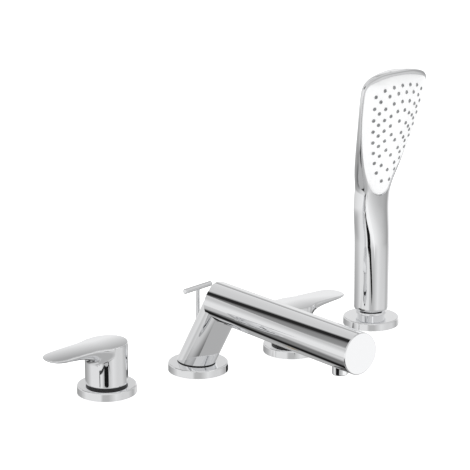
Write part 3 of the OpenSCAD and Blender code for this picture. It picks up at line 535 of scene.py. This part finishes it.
TIP_TURN = math.atan2(FACE_TIP_R - SIDE_MID[1], -SIDE_MID[0])
CORNER_TURN = math.atan2(CORNER_Y - SIDE_MID[1], CORNER_X - SIDE_MID[0])
ARCH_TURN = math.atan2(CORNER_Y - ARCH_Y, CORNER_X)


def arc_points(middle, radius, start, end, steps):
    t = np.linspace(start, end, steps + 1)
    return np.stack([middle[0] + radius * np.cos(t), middle[1] + radius * np.sin(t)], -1)


def drop_outline(grow, fine=4):
    """Closed outline, anticlockwise from the tip."""
    right = np.concatenate([
        arc_points((0, FACE_TIP_R), FACE_TIP_R + grow, -math.pi / 2, TIP_TURN, 8 * fine),
        arc_points(SIDE_MID, FACE_SIDE_R + grow, TIP_TURN, CORNER_TURN, 16 * fine)[1:],
        arc_points((CORNER_X, CORNER_Y), FACE_CORNER_R + grow, CORNER_TURN, ARCH_TURN, 8 * fine)[1:],
        arc_points((0, ARCH_Y), FACE_ARCH_R + grow, ARCH_TURN, math.pi / 2, 6 * fine)[1:],
    ])
    left = right[-2:0:-1] * (-1, 1)
    return np.concatenate([right, left])


def drop_half(y, grow):
    """Half width of that outline at a height above its tip."""
    y = np.asarray(y, float)

    def root(r, mid):
        return np.sqrt(np.maximum(0, r * r - (y - mid) ** 2))

    tip, side = root(FACE_TIP_R + grow, FACE_TIP_R), SIDE_MID[0] + root(FACE_SIDE_R + grow, SIDE_MID[1])
    corner, arch = CORNER_X + root(FACE_CORNER_R + grow, CORNER_Y), root(FACE_ARCH_R + grow, ARCH_Y)
    ends = [FACE_TIP_R + (FACE_TIP_R + grow) * math.sin(TIP_TURN),
            SIDE_MID[1] + (FACE_SIDE_R + grow) * math.sin(CORNER_TURN),
            ARCH_Y + (FACE_ARCH_R + grow) * math.sin(ARCH_TURN)]
    return np.where(y <= ends[0], tip, np.where(y <= ends[1], side, np.where(y <= ends[2], corner, arch)))


def through(keys, x):
    """Smooth curve through keys of place, value and slope, level outside them."""
    keys = np.asarray(keys, float)
    x = np.clip(np.asarray(x, float), keys[0, 0], keys[-1, 0])
    i = np.clip(np.searchsorted(keys[:, 0], x, side="left") - 1, 0, len(keys) - 2)
    w = keys[i + 1, 0] - keys[i, 0]
    t = (x - keys[i, 0]) / w
    return ((2 * t ** 3 - 3 * t ** 2 + 1) * keys[i, 1] + (t ** 3 - 2 * t ** 2 + t) * w * keys[i, 2]
            + (3 * t ** 2 - 2 * t ** 3) * keys[i + 1, 1] + (t ** 3 - t ** 2) * w * keys[i + 1, 2])


DOME_KEYS = [(0, 0, 10), (0.06, 0.38, 1.8), (0.36, 0.69, 1.1), (0.72, 1, 0), (0.93, 0.66, -3.1),
             (1, 0, -17)]
LIP_KEYS = [(0, 4.6, 0), (10, 3.4, -0.14), (42, 0, 0)]
LIP_HALF = 19.0


def face_height(x, y):
    """Rise of the domed face over the rim plane; at the tip it starts level with the neck."""
    w = np.maximum(0.1, drop_half(y, 0))
    across = 1 - np.minimum(1, np.abs(x) / w) ** 2.2
    dome = FACE_RISE * through(DOME_KEYS, np.asarray(y) / FACE_H) * across
    return dome + through(LIP_KEYS, np.asarray(y)) * np.maximum(0, 1 - (x / LIP_HALF) ** 2)


def on_face(points):
    """From the face's own frame (X across, Y up the face, Z out of it) to the row frame."""
    points = np.asarray(points, float)
    c, s = math.cos(math.pi / 2 + FACE_TILT), math.sin(math.pi / 2 + FACE_TILT)
    x, y, z = points.T
    moved = np.stack([x, c * y - s * z - TIP_D, s * y + c * z + TIP_Z], -1)
    return turn_about(moved, SHOWER_TURN, SHOWER_AT)


# Slip rings, each an apron round the collar of its escutcheon: the slip ring is real, and the black apron
# over the collar's side is painted shade for the shadow gap under the handle's skirt
RING_R = 21.0
RING_BORE = 20.75
RING_SPAN = (8.56, 10.4)
RING_CUT = (8.0, 13.0)
for unit, place in (("hot", HOT_AT), ("cold", COLD_AT)):
    ring = to_mesh(unit + "_apron_ring", *upright_rod(RING_R, *RING_SPAN, place))
    bore = to_mesh("work_bore", *upright_rod(RING_BORE, *RING_CUT, place))
    ring = boolean(ring, bore, "DIFFERENCE")
    smooth(ring)
    show(unit + "_apron_ring", ring, unit + "_slip_ring", "fixed_units")


# Shell of the hand shower
def face_depth(z):
    return TIP_D + (z - TIP_Z) * math.tan(FACE_TILT)


def rim_depth(z):
    return face_depth(z) + RIM_PROUD


TILT_SLOPE = math.tan(FACE_TILT)
BLEND_START = TIP_Z - 0.4 * FACE_H
FULL_Z = TIP_Z + 0.146 * FACE_H
DEPTH_REACH = 5.0
WIDEST_REACH = 4.0
HALF_REACH = 3.0
SHELL_AROUND = 200


def head_key(z, depths, slope):
    return z, depths * CROWN_DEPTH - face_depth(z), slope


FRONT_KEYS = [(BLEND_START, GRIP_R, 0), (TIP_Z - 2, 11.0, -0.08),
              (TIP_Z + 30, rim_depth(TIP_Z + 30) + 0.3, 0.14),
              (TIP_Z + 60, rim_depth(TIP_Z + 60), TILT_SLOPE), (CROWN_Z, rim_depth(CROWN_Z), TILT_SLOPE)]
WIDEST_KEYS = [(TIP_Z - 0.182 * FACE_H, 0, 0), (FULL_Z, rim_depth(FULL_Z) - RIM_EDGE, TILT_SLOPE),
               (CROWN_Z, rim_depth(CROWN_Z) - RIM_EDGE, TILT_SLOPE)]
FULL_KEYS = [(GRIP_Z, 0.7, 0.004), (TIP_Z - 55, 1.3, 0.02), (TIP_Z - 14, 3.2, 0.02),
             (TIP_Z + 12, 3.0, -0.05), (TIP_Z + 50, 0.8, -0.03), (TIP_Z + 85, 0, 0)]
LEAN_KEYS = [(GRIP_Z, 0.4, 0), (TIP_Z - 55, 0.9, 0), (TIP_Z - 20, 0.8, 0), (TIP_Z + 14, 0, 0)]
DEEP_KEYS = [(GRIP_Z, 0.7, 0.004), (TIP_Z - 45, 1.2, 0), (TIP_Z + 10, 0, 0)]
BACK_KEYS = [(TIP_Z - 0.473 * FACE_H, GRIP_R, 0), (TIP_Z + 0.015 * FACE_H, 1.055 * GRIP_R, -0.06),
             head_key(TIP_Z + 0.357 * FACE_H, 1.68, -0.385), head_key(TIP_Z + 0.685 * FACE_H, 1.21, -0.22),
             head_key(TIP_Z + 0.881 * FACE_H, 1.19, -0.3), head_key(CROWN_Z, 1, -0.45)]


def shell_half(z):
    y = (z - TIP_Z) / math.cos(FACE_TILT) * (FACE_H + RIM_W) / (FACE_H + RIM_W + CROWN_RISE)
    wide = drop_half(y, RIM_W)
    soft = 3 * np.clip(y / 8, 0, 1)
    blended = (GRIP_R + wide + np.sqrt((GRIP_R - wide) ** 2 + soft ** 2)) / 2
    return np.where(y < 0, GRIP_R, np.where(y > 2 * FACE_TIP_R, wide, blended))


def evened(values, places, reach):
    """Values along a line, eased over a short reach so that a mirror finish shows no kinks."""
    weights = np.exp(-0.5 * ((places[:, None] - places[None, :]) / reach) ** 2)
    step = np.gradient(places)
    eased = (weights * step * values).sum(1) / (weights * step).sum(1)
    ends = np.minimum(places - places[0], places[-1] - places) / (3 * reach)
    share = np.clip(ends, 0, 1)
    return share * eased + (1 - share) * values


def shell_rings(count):
    foot = [(0, 1.4), (0.15, 0.98), (0.5, 0.55), (0.9, 0.2), (1.4, 0.0)]
    crown = np.array([20, 17, 14, 11.5, 9.5, 8, 6.8, 5.6, 4.6, 3.8, 3.0, 2.4, 1.9, 1.4, 1.0, 0.7])
    heights = np.concatenate([np.array([s[0] for s in foot]) + GRIP_Z,
                              np.arange(GRIP_Z + 4, TIP_Z - 66, 3.0),
                              np.arange(TIP_Z - 66, CROWN_Z - 21, 1.4), CROWN_Z - crown])
    trims = np.zeros(len(heights))
    trims[:len(foot)] = [s[1] for s in foot]
    lift = np.maximum(0, 1 - (CROWN_Z - heights) / CROWN_ROUND)
    trims += 0.8 * CROWN_ROUND * (1 - np.sqrt(1 - lift ** 2))
    deeper = through(DEEP_KEYS, heights)
    front = evened(through(FRONT_KEYS, heights), heights, DEPTH_REACH) + deeper - trims
    back = evened(through(BACK_KEYS, heights), heights, DEPTH_REACH) + deeper - trims
    widest = evened(through(WIDEST_KEYS, heights), heights, WIDEST_REACH)
    half = evened(shell_half(heights), heights, HALF_REACH) + through(FULL_KEYS, heights) - trims
    lean = through(LEAN_KEYS, heights)
    power = 2 / through([(TIP_Z - 0.364 * FACE_H, 2, 0), (FULL_Z, 2.5, 0)], heights)
    t = np.linspace(0, 2 * math.pi, count, endpoint=False)
    c, s = np.cos(t), np.sin(t)
    rings = []
    for z, a, f, k, mid, p, aside in zip(heights, half, front, back, widest, power, lean):
        depth = np.where(s > 0, k + mid, f - mid)
        x = a * np.sign(c) * np.abs(c) ** p - aside
        y = depth * np.sign(s) * np.abs(s) ** p - mid
        rings.append(np.stack([x, y, np.full(count, z)], -1))
    return rings


def face_plug(grow, z0, z1):
    outline = drop_outline(grow)
    ring = np.column_stack([outline, np.zeros(len(outline))])
    points, faces = lofted([ring + (0, 0, z0), ring + (0, 0, z1)])
    return to_mesh("work_plug", on_face(points), faces)


shell_points, shell_faces = lofted(shell_rings(SHELL_AROUND))
shell = to_mesh("hand_shower_shell", turn_about(shell_points, SHOWER_TURN, SHOWER_AT), shell_faces)
shell = boolean(shell, face_plug(FACE_GAP, -FACE_T - MAT_T, FACE_RISE), "DIFFERENCE")
grip_bore = upright_rod(GRIP_BORE, GRIP_Z - 1, GRIP_HOLLOW_TOP, SHOWER_AT)
shell = boolean(shell, to_mesh("work_bore", *grip_bore), "DIFFERENCE")
smooth(shell)
show("hand_shower_shell", shell, "shower_shell", "hand_shower")


# White face with a hole for every nozzle
NOZZLE_MID = 0.648 * FACE_H
NOZZLE_DROPS = [(23, 0.755, 0.81, 0.5), (19, 0.627, 0.653, 0), (14, 0.476, 0.456, 0), (9, 0.298, 0.25, 0)]
PLATE_GRID = (150, 91)
MAT_GRID = (60, 41)


def nozzle_places():
    """Middles of the nozzles in nested drops, in the face's own frame."""
    mid = np.array([0.0, NOZZLE_MID])
    outline = drop_outline(0, 1)
    places = [mid]
    for count, wide, high, start in NOZZLE_DROPS:
        path = mid + (outline - (0, mid[1])) * (wide, high)
        path = np.concatenate([path, path[:1]])
        marks = np.concatenate([[0], np.cumsum(np.linalg.norm(np.diff(path, axis=0), axis=1))])
        along = marks[-1] * (np.arange(count) + start) / count
        places.extend(np.stack([np.interp(along, marks, values) for values in path.T], -1))
    return np.array(places)


def face_normals(places):
    d = 0.5
    x, y = places.T
    out = np.stack([(face_height(x - d, y) - face_height(x + d, y)) / (2 * d),
                    (face_height(x, y - d) - face_height(x, y + d)) / (2 * d), np.ones(len(places))], -1)
    return out / np.linalg.norm(out, axis=1, keepdims=True)


def pillow(z0, z1, rows, across):
    """Domed plate between two depths below the face's outside."""
    rings = []
    share = np.linspace(-1, 1, across)
    share = np.sign(share) * (1 - (1 - np.abs(share)) ** 1.35)
    for i in range(rows + 1):
        y = 0.15 + (FACE_H - 0.3) * (1 - math.cos(math.pi * i / rows)) / 2
        x = float(drop_half(y, 0)) * share
        high = face_height(x, np.full(across, y))
        top = np.stack([x, np.full(across, y), z1 + high], -1)
        low = np.stack([x, np.full(across, y), z0 + high], -1)[::-1]
        rings.append(np.concatenate([top, low]))
    return lofted(rings)


NOZZLES = nozzle_places()
NOZZLE_WAYS = face_normals(NOZZLES)
NOZZLE_FEET = np.column_stack([NOZZLES, face_height(NOZZLES[:, 0], NOZZLES[:, 1])])


def nozzle_cutters(radius, count=24):
    """One rod per nozzle, square to the dome."""
    points, faces = [], []
    turn = np.linspace(0, 2 * math.pi, count, endpoint=False)
    for foot, way in zip(NOZZLE_FEET, NOZZLE_WAYS):
        across = np.cross((0, 1, 0), way)
        across /= np.linalg.norm(across)
        up = np.cross(way, across)
        ring = foot + radius * (np.cos(turn)[:, None] * across + np.sin(turn)[:, None] * up)
        body, skin = lofted([ring - 2 * FACE_T * way, ring + FACE_T * way])
        faces.extend([[i + len(points) for i in f] for f in skin])
        points.extend(body)
    return to_mesh("work_nozzles", on_face(points), faces)


plate_points, plate_faces = pillow(-FACE_T, 0.0, *PLATE_GRID)
plate = to_mesh("white_spray_face", on_face(plate_points), plate_faces)
plate = boolean(plate, nozzle_cutters(NOZZLE_R + NOZZLE_GAP), "DIFFERENCE")
smooth(plate)
show("white_spray_face", plate, "spray_face", "hand_shower")


# Nozzles of the silicone mat, one teat set square to the dome in every hole
def new_socket(tree, label, kind, value):
    socket = tree.interface.new_socket(name=label, in_out="INPUT", socket_type=kind)
    if value is not None:
        socket.default_value = value
    return socket.identifier


def make_teat_tree():
    """The mat with a teat on each place, along the place's own way out."""
    tree = bpy.data.node_groups.new("nozzle_teats", "GeometryNodeTree")
    tree.interface.new_socket(name="Mat", in_out="INPUT", socket_type="NodeSocketGeometry")
    sockets = {label: new_socket(tree, label, kind, value) for label, kind, value in (
        ("Places", "NodeSocketObject", None), ("Teat", "NodeSocketObject", None),
        ("Size", "NodeSocketFloat", 1.0), ("Finish", "NodeSocketMaterial", None))}
    tree.interface.new_socket(name="Geometry", in_out="OUTPUT", socket_type="NodeSocketGeometry")
    gin, gout = tree.nodes.new("NodeGroupInput"), tree.nodes.new("NodeGroupOutput")
    links = tree.links
    info = {}
    for label in ("Places", "Teat"):
        info[label] = add_node(tree, "GeometryNodeObjectInfo")
        links.new(gin.outputs[label], info[label].inputs["Object"])
    way = add_node(tree, "GeometryNodeInputNamedAttribute", data_type="FLOAT_VECTOR")
    way.inputs["Name"].default_value = "way"
    align = add_node(tree, "FunctionNodeAlignRotationToVector", axis="Z")
    links.new(way.outputs["Attribute"], align.inputs["Vector"])
    place = add_node(tree, "GeometryNodeInstanceOnPoints")
    links.new(info["Places"].outputs["Geometry"], place.inputs["Points"])
    links.new(info["Teat"].outputs["Geometry"], place.inputs["Instance"])
    links.new(align.outputs["Rotation"], place.inputs["Rotation"])
    links.new(gin.outputs["Size"], place.inputs["Scale"])
    both = add_node(tree, "GeometryNodeJoinGeometry")
    links.new(gin.outputs["Mat"], both.inputs["Geometry"])
    links.new(place.outputs["Instances"], both.inputs["Geometry"])
    real = add_node(tree, "GeometryNodeRealizeInstances")
    links.new(both.outputs["Geometry"], real.inputs["Geometry"])
    paint = add_node(tree, "GeometryNodeSetMaterial")
    links.new(real.outputs["Geometry"], paint.inputs["Geometry"])
    links.new(gin.outputs["Finish"], paint.inputs["Material"])
    links.new(paint.outputs["Geometry"], gout.inputs["Geometry"])
    return tree, sockets


def teat_mesh():
    """Foot, tapered wall, rounded lip and jet hole of one nozzle, along +Z."""
    lip = 0.74 * NOZZLE_R
    levels = [(NOZZLE_R, -FACE_T - 0.4), (NOZZLE_R, 0.15), (lip + 0.22, NOZZLE_PROUD - 0.2),
              (lip + 0.06, NOZZLE_PROUD - 0.05), (lip - 0.12, NOZZLE_PROUD), (0.75, NOZZLE_PROUD),
              (0.55, NOZZLE_PROUD - 0.2), (0.5, -0.8)]
    turn = np.linspace(0, 2 * math.pi, 20, endpoint=False)
    rings = [np.stack([r * np.cos(turn), r * np.sin(turn), np.full(20, z)], -1) for r, z in levels]
    return to_mesh("teat", *lofted(rings), sharp=50)


teat = placed("work_teat", teat_mesh())
places_mesh = bpy.data.meshes.new("work_places")
places_mesh.from_pydata((on_face(NOZZLE_FEET) * MM).tolist(), [], [])
ways = on_face(NOZZLE_WAYS) - on_face(np.zeros_like(NOZZLE_WAYS))
way_marks = places_mesh.attributes.new("way", "FLOAT_VECTOR", "POINT")
way_marks.data.foreach_set("vector", ways.astype(np.float32).ravel())
places = placed("work_places", places_mesh)
mat_points, mat_faces = pillow(-FACE_T - MAT_T, -FACE_T - 0.1, *MAT_GRID)
mat = placed("work_mat", to_mesh("work_mat", on_face(mat_points), mat_faces, sharp=SHARP))
teat_tree, teat_sockets = make_teat_tree()
modifier = mat.modifiers.new("nozzles", "NODES")
modifier.node_group = teat_tree
for label, value in (("Places", places), ("Teat", teat), ("Size", 1.0), ("Finish", FINISH["silicone"])):
    modifier[teat_sockets[label]] = value
mat_mesh = bpy.data.meshes.new_from_object(mat.evaluated_get(bpy.context.evaluated_depsgraph_get()))
for work in (mat, places, teat):
    bpy.data.objects.remove(work)
show("silicone_nozzle_mat", mat_mesh, "nozzle_mat", "hand_shower")


# Studio: a pale floor, a white surround and a few screens that only the polished faces see
FLOOR_HALF = 6.0
FLOOR_Z = -0.0003


def make_floor():
    """A plain pale floor, in metres, just under the deck plane."""
    corners = [(x * FLOOR_HALF, y * FLOOR_HALF, FLOOR_Z) for x, y in ((-1, -1), (1, -1), (1, 1), (-1, 1))]
    mesh = bpy.data.meshes.new("studio_floor")
    mesh.from_pydata(corners, [], [(0, 1, 2, 3)])
    material = bpy.data.materials.new("studio_floor")
    material.use_nodes = True
    shader = material.node_tree.nodes["Principled BSDF"]
    shader.inputs["Base Color"].default_value = plain_color(0.9, 0.9, 0.9)
    shader.inputs["Roughness"].default_value = 0.9
    shader.inputs["Emission Color"].default_value = plain_color(1, 1, 1)
    shader.inputs["Emission Strength"].default_value = 0.55
    mesh.materials.append(material)
    floor = placed("studio_floor", mesh)
    floor.visible_glossy = False


# Tones that polished faces see, as azimuth and tone, by how far up a ray points
FAR_DOWN = [(-180, 0.05), (-160, 0.05), (-138, 0.55), (-105, 0.65), (-92, 0.45), (110, 0.45), (140, 0.2),
            (160, 0.1)]
AT_DECK = [(-180, 0.35), (-150, 0.5), (-122, 0.8), (-60, 0.8), (-50, 0.5), (-30, 0.5), (0, 0.8), (25, 0.7),
           (55, 0.7), (85, 0.45), (110, 0.8), (160, 0.4)]
LEVEL = [(-180, 0.7), (-105, 0.95), (-80, 0.85), (-45, 1.05), (0, 0.8), (75, 0.35), (100, 1.1), (140, 0.8)]
UPWARD = [(-180, 0.7), (-150, 0.6), (60, 0.7), (125, 0.9), (150, 0.9)]
FAR_UP = [(-180, 0.7), (100, 0.65), (125, 0.4), (150, 0.4)]
TONE_STEPS = [(AT_DECK, -0.6, -0.4), (LEVEL, -0.31, -0.24), (UPWARD, 0.0, 0.2), (FAR_UP, 0.27, 0.44)]


def tone_ramp(tree, turn, keys):
    """Tone by azimuth, where the turn runs from 0 to 1 round the horizon."""
    ramp = add_node(tree, "ShaderNodeValToRGB")
    stops = ramp.color_ramp.elements
    stops.remove(stops[1])
    for k, (azimuth, tone) in enumerate(keys + [(180, keys[0][1])]):
        stop = stops[0] if k == 0 else stops.new((azimuth + 180) / 360)
        stop.position = (azimuth + 180) / 360
        stop.color = plain_color(tone, tone, tone)
    tree.links.new(turn, ramp.inputs["Fac"])
    return ramp.outputs["Color"]


def mix_tones(tree, share, a, b):
    node = add_node(tree, "ShaderNodeMix", data_type="FLOAT")
    for label, value in (("Factor", share), ("A", a), ("B", b)):
        feed(tree, node.inputs[label], value)
    return node.outputs["Result"]


def make_world():
    """White to the eye and to matt faces; polished faces see soft tones all round."""
    world = bpy.data.worlds.new("studio")
    world.use_nodes = True
    bpy.context.scene.world = world
    tree = world.node_tree
    coords = add_node(tree, "ShaderNodeTexCoord")
    way = add_node(tree, "ShaderNodeSeparateXYZ")
    tree.links.new(coords.outputs["Generated"], way.inputs["Vector"])
    front = math_node(tree, "MULTIPLY", way.outputs["Y"], -1.0)
    turn = remap(tree, math_node(tree, "ARCTAN2", way.outputs["X"], front), -math.pi, math.pi)
    tone = tone_ramp(tree, turn, FAR_DOWN)
    for keys, low, high in TONE_STEPS:
        share = remap(tree, way.outputs["Z"], low, high)
        tone = mix_tones(tree, share, tone, tone_ramp(tree, turn, keys))
    path = add_node(tree, "ShaderNodeLightPath")
    background = tree.nodes["Background"]
    background.inputs["Color"].default_value = plain_color(1, 1, 1)
    shown = mix_tones(tree, path.outputs["Is Glossy Ray"], 1.0, tone)
    tree.links.new(shown, background.inputs["Strength"])


def card_material():
    """Glows by the tone of its points on one side; the other side lets everything through."""
    material = bpy.data.materials.new("studio_card")
    material.use_nodes = True
    tree = material.node_tree
    tree.nodes.clear()
    tone = add_node(tree, "ShaderNodeAttribute", attribute_name="tone")
    glow = add_node(tree, "ShaderNodeEmission")
    side = add_node(tree, "ShaderNodeNewGeometry")
    clear = add_node(tree, "ShaderNodeBsdfTransparent")
    mix = add_node(tree, "ShaderNodeMixShader")
    out = add_node(tree, "ShaderNodeOutputMaterial")
    tree.links.new(tone.outputs["Fac"], glow.inputs["Strength"])
    tree.links.new(side.outputs["Backfacing"], mix.inputs["Fac"])
    tree.links.new(glow.outputs["Emission"], mix.inputs[1])
    tree.links.new(clear.outputs["BSDF"], mix.inputs[2])
    tree.links.new(mix.outputs["Shader"], out.inputs["Surface"])
    return material


CARD = card_material()


def make_card(name, toward, path, across, profile):
    """A screen along a path, in millimetres; profile lists offsets across it with their tones."""
    path = np.asarray(path, float)
    across = np.asarray(across, float) / np.linalg.norm(across)
    offsets, tones = np.array(profile, float).T
    points = path[:, None, :] + offsets[None, :, None] * across
    n = len(offsets)
    faces = np.array([(k * n + i, k * n + i + 1, (k + 1) * n + i + 1, (k + 1) * n + i)
                      for k in range(len(path) - 1) for i in range(n - 1)])
    if np.dot(np.cross(across, path[1] - path[0]), np.asarray(toward) - path[0]) < 0:
        faces = faces[:, ::-1]
    mesh = bpy.data.meshes.new(name)
    mesh.from_pydata((points.reshape(-1, 3) * MM).tolist(), [], faces.tolist())
    marks = mesh.attributes.new("tone", "FLOAT", "POINT")
    marks.data.foreach_set("value", np.tile(tones, len(path)).astype(np.float32))
    mesh.materials.append(CARD)
    card = placed(name, mesh)
    card.visible_camera = False
    card.visible_diffuse = False
    card.visible_shadow = False
    card.visible_transmission = False


def round_place(middle, azimuth, distance, z):
    a = math.radians(azimuth)
    return middle[0] + distance * math.sin(a), middle[1] - distance * math.cos(a), z


BAND_FAR = 287
EDGE_FAR = 680
STREAK_FAR = 600
STREAK_PATH = [(-37, -160), (-46, -127), (-51, -109), (-55, -90), (-60, -70), (-58, -40), (-62, -29)]


def make_cards():
    """Screens along the tube, round the hot valve, round the hand shower and for the end cap."""
    tube, hot, grip = (0, -120, 100), HOT_AT + (25,), SHOWER_AT + (80,)
    make_card("studio_card_upper", tube, [(-560, 920, 582), (-120, 160, 582)], (-0.83, -0.48, -0.3),
              [(-1500, 0.8), (-180, 0.65), (-115, 0.65), (-40, 0.02), (60, 0.02), (140, 0.25),
               (310, 0.3), (430, 0.7), (620, 0.9)])
    make_card("studio_card_lower", tube, [(-170, 462, -218), (8, 34, -218)], (-0.92, -0.39, 0.0),
              [(-240, 0.45), (-25, 0.45), (20, 0.01), (80, 0.01), (130, 0.2), (215, 0.2),
               (290, 0.6), (380, 0.75)])
    make_card("studio_card_band", hot, [round_place(HOT_AT, -35, BAND_FAR, z) for z in (-86, -60)],
              (0.819, -0.574, 0), [(-58, 0.01), (52, 0.01)])
    make_card("studio_card_line", hot, [round_place(HOT_AT, -70, BAND_FAR, z) for z in (-86, -68)],
              (0.342, -0.94, 0), [(-9, 0.02), (9, 0.02)])
    make_card("studio_card_slant", hot,
              [round_place(HOT_AT, a, BAND_FAR, z) for a, z in ((-72, -68), (-46, -60))],
              (0, 0, 1), [(-2.5, 0.05), (2.5, 0.05)])
    make_card("studio_card_edge", hot, [round_place(HOT_AT, 104, EDGE_FAR, z) for z in (-228, -150)],
              (-0.242, 0.97, 0), [(-150, 0.02), (150, 0.02)])
    make_card("studio_card_cap", tube, [(61, -320, -10), (61, -320, 170)], (0.777, 0.63, 0),
              [(-75, 1.02), (45, 1.02), (80, 0.85)])
    make_card("studio_card_streak", grip,
              [round_place(SHOWER_AT, a, STREAK_FAR, z) for a, z in STREAK_PATH],
              (0.527, 0.85, 0.29), [(-250, 0.01), (160, 0.01)])


def make_camera():
    data = bpy.data.cameras.new("camera")
    data.lens = 129.35
    data.sensor_width = 36.0
    data.clip_end = 50.0
    camera = placed("camera", data)
    at = Vector((-1.0147, -1.3129, 0.5927))
    target = Vector((-0.04228, -0.11292, 0.17504))
    camera.location = at
    camera.rotation_euler = (target - at).to_track_quat("-Z", "Y").to_euler()
    bpy.context.scene.camera = camera


# Pieces under the deck, which the polished faces above it do not mirror
UNDER_DECK = ("hot_valve_body", "cold_valve_body", "hot_cartridge", "cold_cartridge", "spout_shank",
              "diverter_body", "holder_sleeve", "hose_nut", "deck_gaskets", "deck_washers", "deck_nuts")

make_floor()
make_world()
make_cards()
make_camera()
for name in UNDER_DECK:
    frame["nodes"][name].visible_glossy = False
bpy.context.scene.view_settings.view_transform = "Standard"
